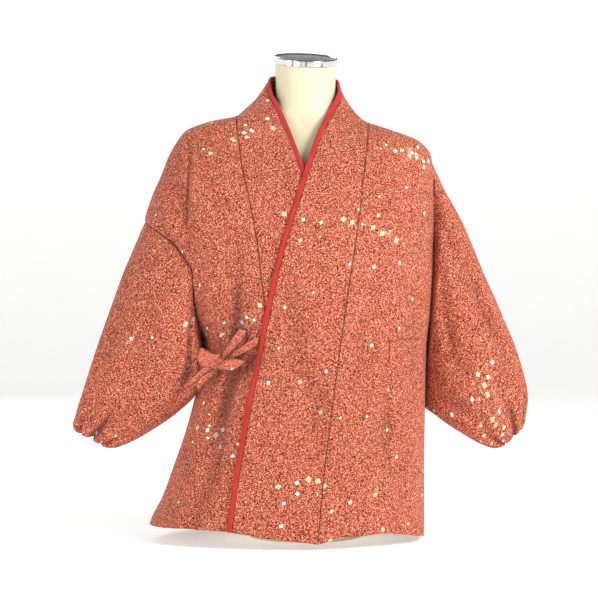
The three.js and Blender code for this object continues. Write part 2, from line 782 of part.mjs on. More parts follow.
// Tape along a path of { at, wide, half, thick } with a given width direction.
function tape(name, path) {
  const outer = [];
  const inner = [];
  path.forEach((node, i) => {
    const before = path[Math.max(i - 1, 0)].at;
    const after = path[Math.min(i + 1, path.length - 1)].at;
    const ahead = unit(sub(after, before));
    const face = unit(cross(ahead, node.wide));
    const wide = unit(cross(face, ahead));
    const row = [-1, 0, 1].map((k) => add(node.at, wide, k * node.half));
    outer.push(row.map((p) => add(p, face, node.thick / 2)));
    inner.push(row.map((p) => add(p, face, -node.thick / 2)));
  });
  shell(name, outer, inner, CLOTH);
}

// Flat tape end from a to b; width and thickness taken along the way.
function tapeEnd(name, points, halves, wide, thick) {
  tape(name, points.map((at, i) => ({ at, wide, half: halves[i], thick })));
}

// Loop of tape: out in front, round the tip and back behind.
function tapeLoop(name, from, to, wide, half, thick, gap) {
  const run = sub(to, from);
  const length = Math.hypot(run[0], run[1], run[2]);
  const ahead = unit(run);
  const facing = unit(cross(ahead, wide));
  const toFront = facing[1] < 0 ? facing : facing.map((v) => -v);
  const path = [];
  const steps = 14;
  for (let i = 0; i <= steps; i += 1) {
    const angle = Math.PI * i / steps;
    const far = length * Math.sin(angle) ** 0.75;
    const across = Math.cos(angle) * gap;
    path.push({
      at: add(add(from, ahead, far), toFront, across),
      wide,
      half: half * (0.5 + 0.5 * Math.sin(angle)),
      thick,
    });
  }
  tape(name, path);
}

function bow() {
  const knot = [-127, -94, 262];
  tapeEnd('tie_strap', [
    [-68.6, -117.9, 296.5], [-84, -113, 286.5], [-97, -105, 277.5], [-107, -97.4, 270],
    [-117, -91.3, 263.8],
  ], [7, 6.5, 6, 5, 4], [0.5, 0, 0.86], 2);
  tapeLoop('bow_loop_upper', [-121.1, -99.4, 270.4], [-90, -110.5, 308], [0.6, 0, -0.8], 9, 1.6, 4.5);
  tapeEnd('bow_leaf', [
    [-119, -97.8, 258.1], [-108, -103.5, 255], [-98, -108.5, 257.5], [-89, -113.5, 262],
  ], [5, 8, 9, 3], [-0.25, 0, 0.97], 2);
  tapeLoop('bow_loop_outer', [-135, -91.5, 264.1], [-158, -80, 270], [0.25, 0, 0.97], 8.5, 1.6, 4.5);
  tapeEnd('bow_end_long', [
    [-132.6, -88, 254.9], [-145, -84, 245], [-158, -80, 236], [-171, -76, 227], [-179, -73, 221],
  ], [5, 7, 8, 8, 6], [0.55, 0, 0.83], 2);
  tapeEnd('bow_end_short', [
    [-131, -95.8, 251], [-139, -95.5, 242], [-149, -93.5, 231], [-156, -91.5, 221],
  ], [4.5, 5.5, 6, 5], [0.75, 0, 0.66], 2);
  const rings = shares(6).map((v) => {
    const angle = Math.PI * (v - 0.5);
    const r = Math.max(0.25, Math.cos(angle) ** 0.7);
    return Array.from({ length: 12 }, (_, k) => {
      const a = 2 * Math.PI * k / 12;
      return add(knot, [9 * r * Math.cos(a), 7 * Math.sin(a) * r, 10.5 * Math.sin(angle)]);
    });
  });
  loft('bow_knot', rings, CLOTH);
}

// ---- dress form ----

function formRing(z, count, grow = 0) {
  return Array.from({ length: count }, (_, k) => {
    const a = 2 * Math.PI * k / count;
    const right = curve(FORM.z, FORM.right, z) + grow;
    const left = curve(FORM.z, FORM.left, z) + grow;
    const front = curve(FORM.z, FORM.front, z) + grow;
    const back = curve(FORM.z, FORM.back, z) + grow;
    const middle = (back - front) / 2;
    const round = 1 - 0.12 * smooth(30, 60, z) * (1 - smooth(600, 650, z));
    const c = Math.sign(Math.cos(a)) * Math.abs(Math.cos(a)) ** round;
    const s = Math.sign(Math.sin(a)) * Math.abs(Math.sin(a)) ** round;
    return [c * (c < 0 ? right : left), middle + s * (front + back) / 2, z];
  });
}

function neckTop(x, y, z) {
  return z + CAP_LEAN * (y - NECK_Y) + CAP_SIDE * x;
}

function dressForm() {
  const levels = [
    -5, 36, 40, 120, 210, 300, 370, 440, 500, 545, 576, 593.5, 604.6, 612.6, 619.6, 626.6,
    637, 652,
    680,
  ];
  const rings = levels.map((z) => formRing(z, FORM_SIDES));
  rings.push(formRing(708, FORM_SIDES).map(([x, y, z]) => [x, y, neckTop(x, y, z)]));
  loft('dress_form', rings, CREAM);
  const cap = [
    [0.3, 0], [0.3, 1.6], [CAP_HEIGHT - 2, 1.6], [CAP_HEIGHT - 0.6, 1], [CAP_HEIGHT, -0.6],
  ].map(([rise, grow]) => formRing(708, FORM_SIDES, grow).map(([x, y, z]) => (
    [x, y, neckTop(x, y, z) + rise])));
  cap.unshift(formRing(708, FORM_SIDES, -1.5).map(([x, y, z]) => [x, y, neckTop(x, y, z) + 0.3]));
  loft('neck_cap', cap, STEEL);
}

// ---- assembly ----

const right = frontPanel('front_right', 'rightFront', COLLAR_RIGHT, -1, false);
const left = frontPanel('front_left', 'leftFront', COLLAR_LEFT, 1, true);
const back = backPanel();
const backLast = back.grid[0].length - 1;
collar('right', COLLAR_RIGHT, false, 0, seamNormalsOf(right, back, false));
collar('left', COLLAR_LEFT, true, 7, seamNormalsOf(left, back, true));
sleeve('right', SLEEVE_RIGHT, armholeRing(right, back, 0, -1), -1);
sleeve('left', SLEEVE_LEFT, armholeRing(left, back, backLast, 1), 1);
pocket(left);
bow();
dressForm();

export default group;
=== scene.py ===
import math

import bpy
import numpy as np
from bpy.props import FloatProperty, FloatVectorProperty, IntProperty, PointerProperty
from bpy.types import Operator, Panel, PropertyGroup
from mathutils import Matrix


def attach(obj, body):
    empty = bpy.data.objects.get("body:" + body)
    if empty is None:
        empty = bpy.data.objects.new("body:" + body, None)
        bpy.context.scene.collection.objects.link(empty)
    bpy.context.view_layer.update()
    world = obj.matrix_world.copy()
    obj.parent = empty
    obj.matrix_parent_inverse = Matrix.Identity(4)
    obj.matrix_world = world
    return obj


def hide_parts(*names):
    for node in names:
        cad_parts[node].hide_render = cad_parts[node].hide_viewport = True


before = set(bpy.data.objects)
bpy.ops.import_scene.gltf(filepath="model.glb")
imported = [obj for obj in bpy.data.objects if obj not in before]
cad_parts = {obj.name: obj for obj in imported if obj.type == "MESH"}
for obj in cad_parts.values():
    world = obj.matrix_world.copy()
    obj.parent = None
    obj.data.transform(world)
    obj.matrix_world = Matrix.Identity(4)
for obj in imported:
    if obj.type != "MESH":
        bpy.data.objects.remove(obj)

bl_info = {
    "name": "Kimono Top on Dress Form",
    "version": (1, 0, 0),
    "blender": (4, 5, 0),
    "location": "3D View > Sidebar > Kimono Top",
    "description": "Wrap-over kimono top of printed cloth on a limbless dress form",
    "category": "Object",
}

# Lengths in the tables are millimetres; meshes are made in metres.
# X runs to the wearer's left, the front faces -Y, Z is up.
MM = 0.001
TINY = 1e-6
SIGN = {"right": -1, "left": 1}
DATUM_Z = 5            # garment datum above the underside of the foot
LAP = 3.6              # left front stands this far over the right
LAP_FADE_X = (118, 165)    # where that fades out across the front
LAP_FADE_Z = (572, 612)    # and up to the shoulder
ROUND = 2.3            # squareness of the body's level section
CHEST_TOP = 560        # height where the body turns in to the shoulders
SIDE_FOOT = 10         # height at which the side edges meet the hem
HEM_LEVEL = 5          # level of the section that places the back hem
HEM_EXTRA = [0.03, 0.08]   # extra rows close above the hem
SIDE_ROWS = 9          # rows from hem to armpit
ARM_ROWS = 20          # rows along one half of an armhole
ROWS = SIDE_ROWS + ARM_ROWS
RIDGE_ROWS = 4         # rows of the back along the shoulder
NECK_ROWS = 8          # collar rows from shoulder to centre back
FRONT_COLUMNS = 15
BACK_COLUMNS = 26
COLLAR_COLUMNS = 5
BINDING_COLUMNS = 8
SLEEVE_RINGS = 11      # rings of the pattern from armhole to cuff
SEAM_RINGS = [0.003, 0.006, 0.01]   # extra rings close below the armhole
RIDGE_STATION = 12     # collar station at the shoulder line
COLLAR_STANDS = (8.5, 11.5)    # stations between which a collar leaves the body
EDGE_IS_FREE = (9, 9.8)    # stations between which its edge takes its own depth
RIDGE_BESIDE = 1.7     # a crease's ridge lies this many widths beside it
SLEEVE_RIDGE = 0.4     # height of a sleeve's ridges as a share of the crease
ROLL_REACH = 1.6       # cloth rolls in this close to a seam
SEAM_REACH = 0.7       # reach of a seam's dark line
BINDING_CROWN = 0.35   # rise of the binding's middle
BINDING_FOLDS = (1.0, 0.7)     # rounding of its folded edges, outside and inside
CLOTH_SHARP = 52       # degrees over which an edge of cloth is shaded hard
SOLID_SHARP = 48       # the same for knot, form and cap
TAPE_STEPS = 8         # steps between two rows of a tape's table
TAPE_COLUMNS = 25
FORM_COLUMNS = 128
NECK_Y = 12            # middle of the neck, from front to back
NECK_STRAIGHT = 680    # up to here the neck's rings are level
NECK_TOP = 708         # height of its top before it leans
CAP_LEAN = 0.255       # rise of the neck's top per mm backwards
CAP_SIDE = -0.045      # rise of the neck's top per mm to the left


def table(names, rows):
    """Named columns from rows of numbers; a missing value becomes NaN."""
    columns = np.array([[np.nan if v is None else v for v in row] for row in rows], float)
    return {name: columns[:, i] for i, name in enumerate(names.split())}


# Level sections of the body: height, side edges, depth before and behind.
BODY = table("z left right front back", [
    [-10, -237, 177.5, 138, 128],
    [17, -233.5, 177.5, 138, 128],
    [59, -214, 177.5, 136, 127],
    [108.5, -196, 177.5, 134, 126],
    [156.5, -179.5, 178, 131, 125],
    [216.5, -163, 178.8, 127, 123],
    [254, -154, 179.5, 125, 121],
    [284, -151, 180.5, 124, 120],
    [334, -174, 186.5, 124, 119],
    [394, -206, 190.5, 124, 119],
    [440, -230, 191.5, 122, 120],
    [468.5, -241, 192, 117, 121],
    [497.5, -233.5, 192, 109, 122],
    [539, -216, 192, 93, 121],
    [567.5, -205, 188, 78, 117],
    [588.5, -193, 171, 64, 112],
    [605, -179.5, 131, 52, 105],
    [611, -167.5, 113, 47, 102],
    [620, -139, 88, 39, 97],
    [626, -107.5, 78, 33, 92],
    [635, -92, 65, 22, 86],
    [647, -74, 56, 12, 78],
])

# Height of the hem across the front and across the back.
HEM_FRONT = table("x z", [
    [-240, 18], [-168, 21.6], [-138, 21.4], [-112, 21], [-65, 13], [-23, 8.3],
    [8.5, 3], [45, 11.8], [65, 14.3], [113, 15.8], [143, 11.3], [180, 0],
])
HEM_BACK = table("x z", [
    [-240, 18], [-205, 8], [-175, 0], [-120, 3], [0, 6], [100, 5], [180, 0],
])

# Soft folds: place on the body, run up and across, depth and width.
FRONT_FOLDS = table("x z runX runZ depth width", [
    [-103, 330, 0.03, 62, 6, 12],
    [-122, 188, 0.2, 82, 7, 15],
    [-150, 60, 0.45, 75, 5, 15],
    [-178, 480, -0.2, 90, 5, 13],
    [130, 330, 0.08, 120, -3.5, 20],
    [152, 250, 0.03, 150, 3.5, 13],
])
BACK_FOLDS = table("x z runX runZ depth width", [
    [-150, 130, 0.25, 120, 7, 20],
    [-90, 60, 0.12, 110, 5, 17],
    [-20, 90, -0.05, 150, 5.5, 20],
    [62, 70, -0.1, 120, 6, 18],
    [125, 160, -0.12, 140, 5, 17],
    [-165, 440, -0.35, 80, 6, 16],
    [150, 450, 0.1, 100, 5.5, 16],
])

# Finer creases: as above, with a ridge beside each as a share of its depth.
FRONT_CREASES = table("x z runX runZ depth width ridge", [
    [-171, 540, 0.02, 72, 3.4, 3.2, 0.4],
    [-112, 210, 0.16, 70, 2.2, 7, 0.4],
    [-97, 345, 0.02, 48, 2.0, 6, 0.4],
    [-84, 258, 0.75, 30, 6.0, 13, 0.3],
    [-110, 232, 0.22, 42, 3.6, 8, -0.4],
    [-99, 300, 0.35, 26, 3.4, 9, 0.3],
    [-150, 215, 0.30, 42, 2.0, 8, 0.4],
    [-176, 120, 0.42, 60, 2.2, 9, -0.4],
    [-60, 150, 0.10, 95, 1.2, 14, 0.3],
    [-12, 300, -0.20, 120, 3.2, 20, 0.2],
    [24, 200, 0.10, 130, 2.6, 19, -0.2],
    [80, 290, 0.10, 110, 2.4, 16, 0.3],
    [118, 172, 0.05, 55, 2.8, 14, -0.4],
    [112, 200, 0.06, 150, 1.8, 9, -0.7],
    [150, 420, 0.02, 110, 2.0, 10, -0.5],
    [100, 520, 0.50, 50, 1.6, 14, 0.3],
    [-120, 470, -0.35, 90, 1.8, 14, 0.4],
    [-205, 455, -0.60, 45, 2.4, 8, 0.4],
    [60, 60, -0.10, 60, 1.6, 12, 0.3],
    [-20, 70, 0.05, 70, 1.4, 13, 0.3],
    [140, 90, -0.05, 70, 1.8, 12, 0.4],
])
BACK_CREASES = table("x z runX runZ depth width ridge", [
    [-172, 520, 0.05, 80, 2.2, 5, 0.5],
    [-120, 330, 0.30, 90, 2.4, 12, 0.4],
    [-60, 420, 0.10, 100, 2.0, 14, 0.4],
    [0, 300, 0.02, 160, 1.6, 12, 0.3],
    [48, 400, -0.12, 110, 2.2, 13, 0.4],
    [105, 380, -0.20, 90, 2.2, 11, -0.4],
    [150, 300, -0.10, 120, 2.4, 12, 0.4],
    [-185, 220, 0.35, 80, 2.2, 11, 0.4],
    [90, 120, -0.05, 90, 2.0, 12, 0.3],
    [-40, 200, 0.06, 110, 1.8, 14, -0.3],
    [170, 500, 0.05, 60, 1.8, 8, 0.4],
])

# Painted shadow on the cloth below the bow: middle, half sizes and darkness.
BOW_SHADE = table("x z reachX reachZ dark", [
    [-80, 264, 12, 13, 0.75],
    [-90, 277, 12, 8, 0.6],
    [-104, 250, 10, 12, 0.5],
    [-96, 303, 9, 9, 0.35],
    [-122, 247, 12, 7, 0.45],
])

# Armhole seams, armpit to shoulder, on the front and back of the body.
ARMHOLE = {
    "rightFront": [
        [-151, 284], [-155, 300], [-159, 319], [-163.6, 351.5], [-165.3, 393.6],
        [-175.6, 411], [-192, 433], [-213.6, 449], [-231, 461], [-241, 468.5],
    ],
    "rightBack": [
        [-151, 284], [-155, 305], [-163, 335], [-172, 365], [-182, 394],
        [-194, 420], [-208, 440], [-224, 455], [-235, 463], [-241, 468.5],
    ],
    "leftFront": [
        [180.5, 284], [184, 305], [186, 334], [188.5, 380], [190, 430],
        [190.6, 470], [190.7, 505], [190.5, 530], [189.6, 549], [190.2, 556],
    ],
    "leftBack": [
        [180.5, 284], [178, 305], [176, 335], [175, 380], [174, 430],
        [174, 470], [176, 505], [180, 530], [185, 547], [190.2, 556],
    ],
}

# Collar stations from hem to shoulder to centre back: seam line, then edge.
# A missing depth is taken from the body below.
COLLAR_LEFT = table("sx sy sz ex ey ez", [
    [17, None, 4, -113.3, None, 21],
    [22, None, 64, -105, None, 88],
    [28.4, None, 126.6, -94.5, None, 151],
    [36.5, None, 188, -84, None, 210],
    [44.5, None, 250, -72, None, 267],
    [53, None, 312, -62, None, 318],
    [62, None, 374, -50.5, None, 372],
    [71.3, None, 434, -37, None, 428],
    [79.4, None, 494, -17, None, 492],
    [86, None, 548, 1.5, None, 552],
    [90.6, None, 586, 19, -60, 603],
    [92.5, None, 607, 36, -33, 636],
    [93.5, 0, 617.9, 49, -3, 666],
    [78.5, 38, 621, 49.5, 20, 683],
    [61, 68, 625.5, 39.5, 44, 690],
    [33, 84, 629, 21.5, 58, 693],
    [0, 88, 630, 0, 63, 694],
])
COLLAR_RIGHT = table("sx sy sz ex ey ez", [
    [-20, None, 8, 111.4, None, 15.8],
    [-25, None, 64, 105, None, 68],
    [-31.4, None, 126.6, 96, None, 126],
    [-39.5, None, 188, 85, None, 188],
    [-47.5, None, 250, 72.5, None, 250],
    [-55.5, None, 312, 59, None, 312],
    [-63, None, 374, 46.5, None, 374],
    [-70.3, None, 434, 33, None, 434],
    [-81, None, 491, 15, None, 492],
    [-93, None, 546, -5, None, 552],
    [-99.5, None, 590, -22, -57, 599],
    [-102.5, None, 614, -37, -32, 636],
    [-101.5, 0, 629.5, -51.5, -3, 667],
    [-92, 38, 629.5, -53.5, 20, 688],
    [-66, 70, 630, -41, 44, 693],
    [-33, 84, 630, -22, 58, 694],
    [0, 88, 630, 0, 63, 694],
])
COLLARS = {"right": COLLAR_RIGHT, "left": COLLAR_LEFT}

# Sleeve sections: outer and inner end, their depths, fullness before, behind.
SLEEVE_RIGHT = table("xo zo xi zi yo yi front back", [
    [-266.5, 408.5, -149.5, 243.5, 0, -38, 62, 64],
    [-290.5, 344, -161.5, 213.5, -2, -28, 58, 60],
    [-311.5, 284, -191.5, 183.5, -4, -14, 53, 54],
    [-331, 224, -230.5, 156.5, -5, -8, 46, 46],
    [-343, 184, -262, 139, -5, -6, 38, 38],
    [-347, 158, -294, 129, -5, -5, 26, 26],
])
SLEEVE_LEFT = table("xo zo xi zi yo yi front back", [
    [211, 512, 182, 262, 4, 14, 50, 60],
    [236, 466, 178, 232, 2, 26, 56, 60],
    [265, 396, 178, 195, 0, 26, 58, 58],
    [296, 325, 197, 177, -3, 6, 54, 54],
    [320, 264, 229, 155, -4, -8, 46, 46],
    [333, 206, 264, 136, -5, -5, 37, 37],
    [326, 160, 290, 129, -5, -5, 25, 25],
])

# Sleeve creases: share down the sleeve and round it (0 top, 0.25 front,
# 0.5 underarm, 0.75 back), drift round per share down, reach, depth, width.
CREASES_RIGHT = table("down round drift reach depth width", [
    [0.20, 0.375, 0.10, 0.24, 7.0, 12],
    [0.30, 0.22, 0.06, 0.30, 2.4, 16],
    [0.45, 0.12, 0.05, 0.25, 2.6, 14],
    [0.62, 0.30, -0.10, 0.25, 3.0, 13],
    [0.75, 0.18, 0.08, 0.18, 2.6, 9],
    [0.80, 0.38, 0.05, 0.16, 2.6, 9],
    [0.25, 0.66, -0.10, 0.24, 5.0, 15],
    [0.45, 0.80, -0.04, 0.28, 3.0, 15],
    [0.66, 0.70, 0.10, 0.24, 3.2, 12],
    [0.80, 0.86, -0.06, 0.18, 2.6, 9],
])
CREASES_LEFT = table("down round drift reach depth width", [
    [0.22, 0.16, 0.06, 0.22, 3.6, 14],
    [0.40, 0.27, 0.04, 0.28, 3.4, 14],
    [0.52, 0.13, 0.02, 0.26, 4.2, 15],
    [0.62, 0.36, -0.06, 0.22, 3.0, 13],
    [0.78, 0.22, 0.06, 0.18, 2.8, 9],
    [0.82, 0.08, 0.06, 0.16, 2.6, 9],
    [0.25, 0.68, -0.08, 0.26, 4.6, 16],
    [0.45, 0.82, -0.04, 0.30, 3.4, 15],
    [0.64, 0.62, 0.08, 0.24, 3.2, 12],
    [0.80, 0.78, -0.06, 0.18, 2.6, 9],
])

# Gathers at a cuff: how many round it, phase, depth and reach up the sleeve.
GATHERS = table("count phase depth reach", [
    [9, 2.1, 0.9, 60],
    [17, 1.0, 0.7, 22],
    [24, 3.3, 0.5, 12],
])

# Pleats pulled in at a cuff: share round it, depth, width, reach up the sleeve.
PLEATS_RIGHT = table("round depth width reach", [
    [0.04, 6.0, 5.0, 34], [0.125, 7.5, 5.4, 40], [0.182, 3.6, 3.4, 22],
    [0.242, 13.0, 5.6, 66], [0.298, 5.0, 4.0, 30], [0.365, 8.0, 5.2, 44],
    [0.44, 6.4, 5.0, 36], [0.52, 7.4, 5.4, 42], [0.60, 9.6, 5.6, 56],
    [0.68, 5.4, 4.6, 32], [0.76, 10.0, 5.6, 60], [0.85, 6.0, 5.0, 36], [0.93, 7.6, 5.2, 44],
])
PLEATS_LEFT = table("round depth width reach", [
    [0.03, 5.4, 5.0, 32], [0.085, 9.5, 5.0, 48], [0.165, 4.6, 4.4, 30],
    [0.215, 9.0, 5.2, 70], [0.29, 5.6, 4.8, 34], [0.37, 7.6, 5.4, 44],
    [0.445, 6.0, 4.8, 34], [0.53, 7.0, 5.4, 40], [0.61, 9.8, 5.6, 58],
    [0.69, 5.6, 4.6, 32], [0.77, 9.0, 5.4, 52], [0.86, 6.2, 5.0, 36], [0.94, 7.4, 5.2, 40],
])

# Pocket: sides at a level, top, foot, the drop of its outer corner, its size.
POCKET = {"level": 200, "inner": 119.5, "outer": 171, "top": 293, "foot": 109.8,
          "drop": 14, "width": 72, "height": 190}

# Ties and bow: points along both edges of each folded tape, then the painted shade on it.
STRAP = [
    [-67.0, -117.8, 301.0, -71.0, -117.8, 285.9, 0.30],
    [-85.0, -115.8, 290.8, -84.5, -115.4, 277.6, 0.10],
    [-99.4, -109.5, 281.0, -98.5, -108.5, 270.2, 0.25],
    [-112.0, -100.5, 271.0, -112.0, -99.5, 263.6, 0.60],
]
LOOP_UPPER = [
    [-121.0, -102.0, 275.0, -117.0, -102.0, 267.5, 0.50],
    [-111.0, -109.5, 289.5, -105.0, -110.5, 279.5, 0.05],
    [-102.5, -116.0, 302.0, -94.5, -116.5, 290.5, 0.00],
    [-95.5, -119.0, 310.5, -87.0, -119.5, 300.3, 0.00],
    [-94.8, -114.0, 309.5, -86.0, -114.4, 295.4, 0.15],
    [-102.5, -110.0, 299.0, -92.0, -110.5, 285.0, 0.20],
    [-110.5, -105.0, 288.0, -101.4, -105.6, 275.4, 0.40],
    [-118.5, -99.5, 276.5, -113.5, -100.0, 267.0, 0.70],
]
LEAF = [
    [-124.0, -101.0, 259.0, -127.0, -101.0, 252.0, 0.45],
    [-115.3, -106.5, 265.6, -118.5, -105.5, 250.0, 0.05],
    [-105.2, -112.0, 268.0, -107.2, -111.0, 250.0, 0.00],
    [-95.5, -116.0, 266.8, -96.8, -115.0, 254.6, 0.00],
    [-87.2, -118.0, 264.2, -87.6, -117.8, 261.8, 0.05],
]
LOOP_OUTER = [
    [-122.0, -101.0, 275.0, -129.0, -100.0, 258.0, 0.40],
    [-132.5, -99.0, 274.0, -138.0, -97.0, 254.5, 0.05],
    [-142.5, -94.5, 278.5, -149.0, -92.0, 254.5, 0.00],
    [-150.8, -90.0, 283.0, -156.4, -87.5, 263.5, 0.00],
    [-150.5, -85.0, 281.0, -154.2, -82.5, 254.0, 0.25],
    [-143.5, -86.5, 272.0, -146.0, -85.0, 252.0, 0.30],
    [-134.0, -90.5, 268.0, -137.0, -89.5, 253.0, 0.40],
    [-126.0, -93.5, 265.0, -129.0, -93.0, 255.0, 0.60],
]
END_LONG = [
    [-136.0, -95.5, 262.0, -127.0, -96.0, 250.0, 0.40],
    [-149.5, -91.0, 254.0, -140.0, -91.5, 241.5, 0.00],
    [-164.0, -85.5, 240.0, -156.5, -85.0, 228.5, 0.00],
    [-177.3, -79.5, 227.5, -173.0, -79.0, 219.3, 0.00],
]
END_SHORT = [
    [-136.0, -98.0, 250.0, -127.5, -98.5, 247.0, 0.55],
    [-147.5, -96.5, 243.0, -138.0, -97.5, 239.5, 0.15],
    [-156.0, -94.0, 236.0, -147.0, -95.5, 231.0, 0.00],
    [-158.0, -93.0, 228.0, -151.5, -94.5, 225.0, 0.00],
    [-156.6, -93.5, 219.0, -154.4, -94.0, 220.0, 0.00],
]

# Dress form sections: height, half widths, depths before and behind y = 0.
FORM = table("z right left front back", [
    [-5, 84, 84, 55, 100],
    [36, 84, 84, 55, 100],
    [40, 142, 142, 92, 92],
    [120, 144, 144, 97, 96],
    [210, 130, 130, 90, 90],
    [300, 118, 118, 84, 84],
    [370, 128, 128, 93, 92],
    [440, 142, 142, 101, 100],
    [500, 150, 150, 93, 103],
    [545, 150, 150, 72, 102],
    [576, 145, 146, 56, 98],
    [593.5, 137, 133, 47, 93],
    [604.6, 128, 116, 41, 88],
    [612.6, 117, 97, 37, 83],
    [619.6, 101, 76, 35, 77],
    [626.6, 78, 61, 35, 70],
    [637, 54, 51, 34, 61],
    [652, 45, 45, 33, 57],
    [680, 45, 45, 33, 57],
    [708, 47, 47, 35, 59],
])

# Neck cap: rise over the neck's top and growth of its outline.
CAP = [
    (0.3, -1.5), (0.3, 1.2), (0.7, 1.6), (8.4, 1.6), (9.1, 1.45), (9.7, 0.9),
    (9.95, 0.1), (10.0, -1.2), (9.8, -1.9), (9.2, -2.3), (9.0, -3.2), (9.0, -8),
    (9.05, -20), (9.1, -32),
]

# Drifts of blossom: side (-1 front, 1 back), middle, half sizes, slope, share.
DRIFTS = table("side x z reachX reachZ slope share", [
    [-1, -60, 603, 42, 10, 0.35, 0.75],
    [-1, 30, 464, 62, 9, -0.08, 0.8],
    [-1, 118, 444, 40, 9, -0.45, 0.8],
    [-1, 160, 566, 38, 11, -0.25, 0.8],
    [-1, -98, 318, 44, 12, 0.4, 0.8],
    [-1, -172, 292, 10, 60, 0, 0.7],
    [-1, -142, 160, 44, 13, -0.15, 0.75],
    [-1, 118, 82, 58, 12, 0.08, 0.75],
    [-1, 268, 200, 26, 60, -1.2, 0.8],
    [-1, -10, 90, 40, 12, 0.3, 0.4],
    [1, -120, 540, 60, 16, -0.2, 0.75],
    [1, 60, 470, 80, 16, 0.15, 0.75],
    [1, -60, 330, 70, 18, 0.3, 0.75],
    [1, 110, 230, 60, 18, -0.3, 0.75],
    [1, -130, 130, 60, 20, 0.1, 0.75],
    [1, 60, 70, 70, 18, 0.2, 0.7],
    [1, -280, 260, 30, 50, 1.0, 0.7],
    [1, 280, 300, 30, 60, -1.0, 0.7],
])


# ---- settings ----


class KimonoSizes(PropertyGroup):
    cloth: FloatProperty(
        name="Cloth", description="Wall of body, sleeves and pocket",
        default=0.0013, unit="LENGTH")
    collar: FloatProperty(
        name="Collar cloth", description="Wall of the collar band",
        default=0.0017, unit="LENGTH")
    seam: FloatProperty(
        name="Seam", description="Space between two sewn pieces",
        default=0.00035, unit="LENGTH")
    groove: FloatProperty(
        name="Seam groove", description="How far cloth rolls in at a sewn edge",
        default=0.0009, unit="LENGTH")
    ease: FloatProperty(
        name="Sleeve ease", description="Space between the sleeve and the body's side",
        default=0.0012, unit="LENGTH")
    binding: FloatProperty(
        name="Binding width", description="Width of the plain binding",
        default=0.007, unit="LENGTH")
    binding_wall: FloatProperty(
        name="Binding wall", description="Thickness of the folded binding",
        default=0.0025, unit="LENGTH")
    binding_proud: FloatProperty(
        name="Binding proud", description="How far the binding stands over the collar",
        default=0.0004, unit="LENGTH")
    sag: FloatProperty(
        name="Collar sag", description="Sag of the left collar between seam and edge",
        default=0.007, unit="LENGTH")
    crease: FloatProperty(
        name="Crease", description="Share of the fine creases' full depth", default=1.45)
    # Strength of the painted shade at the foot of a fold.
    painted_shade: FloatProperty(
        name="Hollow shade", description="Darkness of cloth at the foot of a fold",
        default=0.62)
    fineness: IntProperty(
        name="Fineness", description="Mesh rows for each row of the pattern",
        default=6, min=2, max=8)


class KimonoColours(PropertyGroup):
    ground: FloatVectorProperty(
        name="Ground", description="Red between the speckles",
        default=(0.43, 0.032, 0.016), subtype="COLOR")
    speckle: FloatVectorProperty(
        name="Speckle", description="Pale curled strokes",
        default=(1.0, 0.305, 0.165), subtype="COLOR")
    tip: FloatVectorProperty(
        name="Stroke tip", description="Palest parts of the strokes",
        default=(1.0, 0.60, 0.40), subtype="COLOR")
    fleck: FloatVectorProperty(
        name="Fleck", description="Dark flecks between the strokes",
        default=(0.032, 0.008, 0.004), subtype="COLOR")
    blossom: FloatVectorProperty(
        name="Blossom", description="Small scattered blossoms",
        default=(0.95, 0.90, 0.76), subtype="COLOR")
    blossom_shade: FloatVectorProperty(
        name="Faded blossom", description="Blossoms of the second colour",
        default=(0.68, 0.54, 0.37), subtype="COLOR")
    # The tapes are painted paler than the same print elsewhere: painted light on the bow, partly
    # a paler print.
    tape: FloatVectorProperty(
        name="Tape", description="Paler print of the tied tapes",
        default=(0.80, 0.215, 0.13), subtype="COLOR")
    # Colour of the painted shade along seams, in folds and recesses, below the bow and in the
    # bow's slits.
    crease: FloatVectorProperty(
        name="Seam shadow", description="Dark cloth in the seams",
        default=(0.085, 0.012, 0.008), subtype="COLOR")
    binding: FloatVectorProperty(
        name="Binding", description="Plain red binding",
        default=(0.52, 0.026, 0.018), subtype="COLOR")
    form: FloatVectorProperty(
        name="Form", description="Cream shell of the dress form",
        default=(0.74, 0.665, 0.46), subtype="COLOR")
    metal: FloatVectorProperty(
        name="Metal", description="Polished cap",
        default=(0.80, 0.81, 0.82), subtype="COLOR")


class KimonoStage(PropertyGroup):
    distance: FloatProperty(
        name="Distance", description="Camera to the middle of the object",
        default=2.6, unit="LENGTH")
    height: FloatProperty(
        name="Height", description="Height of the camera",
        default=0.358, unit="LENGTH")
    aside: FloatProperty(
        name="Aside", description="Camera place to the side",
        default=-0.010, unit="LENGTH")
    lens: FloatProperty(
        name="Lens", description="Focal length in millimetres", default=104.33)
    floor: FloatVectorProperty(
        name="Floor", description="Pale floor and backdrop",
        default=(0.93, 0.93, 0.92), subtype="COLOR")
    dish: FloatProperty(
        name="Floor radius", description="Radius of the round floor",
        default=7.0, unit="LENGTH")
    bend: FloatProperty(
        name="Floor bend", description="Radius of the curve at the floor's rim",
        default=2.0, unit="LENGTH")
    wall: FloatProperty(
        name="Wall height", description="Height of the wall round the floor",
        default=3.2, unit="LENGTH")
    glow: FloatProperty(name="Floor glow", description="Own light of the floor", default=0.47)
    key: FloatProperty(name="Key light", description="Power of the key light", default=114)
    fill: FloatProperty(name="Fill light", description="Power of the fill light", default=36)
    sky: FloatProperty(name="Sky", description="Strength of the surrounding light", default=0.11)


# ---- small tools ----


def sizes():
    return bpy.context.scene.kimono_sizes


def size_mm(name):
    """A length of the settings in millimetres."""
    return getattr(sizes(), name) / MM


def mix(a, b, t):
    return a + (b - a) * t


def smooth(low, high, v):
    """Eased step from 0 at `low` to 1 at `high`; low may be the larger."""
    t = np.clip((np.asarray(v, float) - low) / (high - low), 0, 1)
    return t * t * (3 - 2 * t)


def hump(x, reach=1.0):
    """1 at x = 0, falling to nearly 0 at twice the reach."""
    return np.exp(-(x / reach) ** 2)


def unit(v):
    length = np.linalg.norm(v, axis=-1, keepdims=True)
    return v / np.where(length > 1e-12, length, 1)


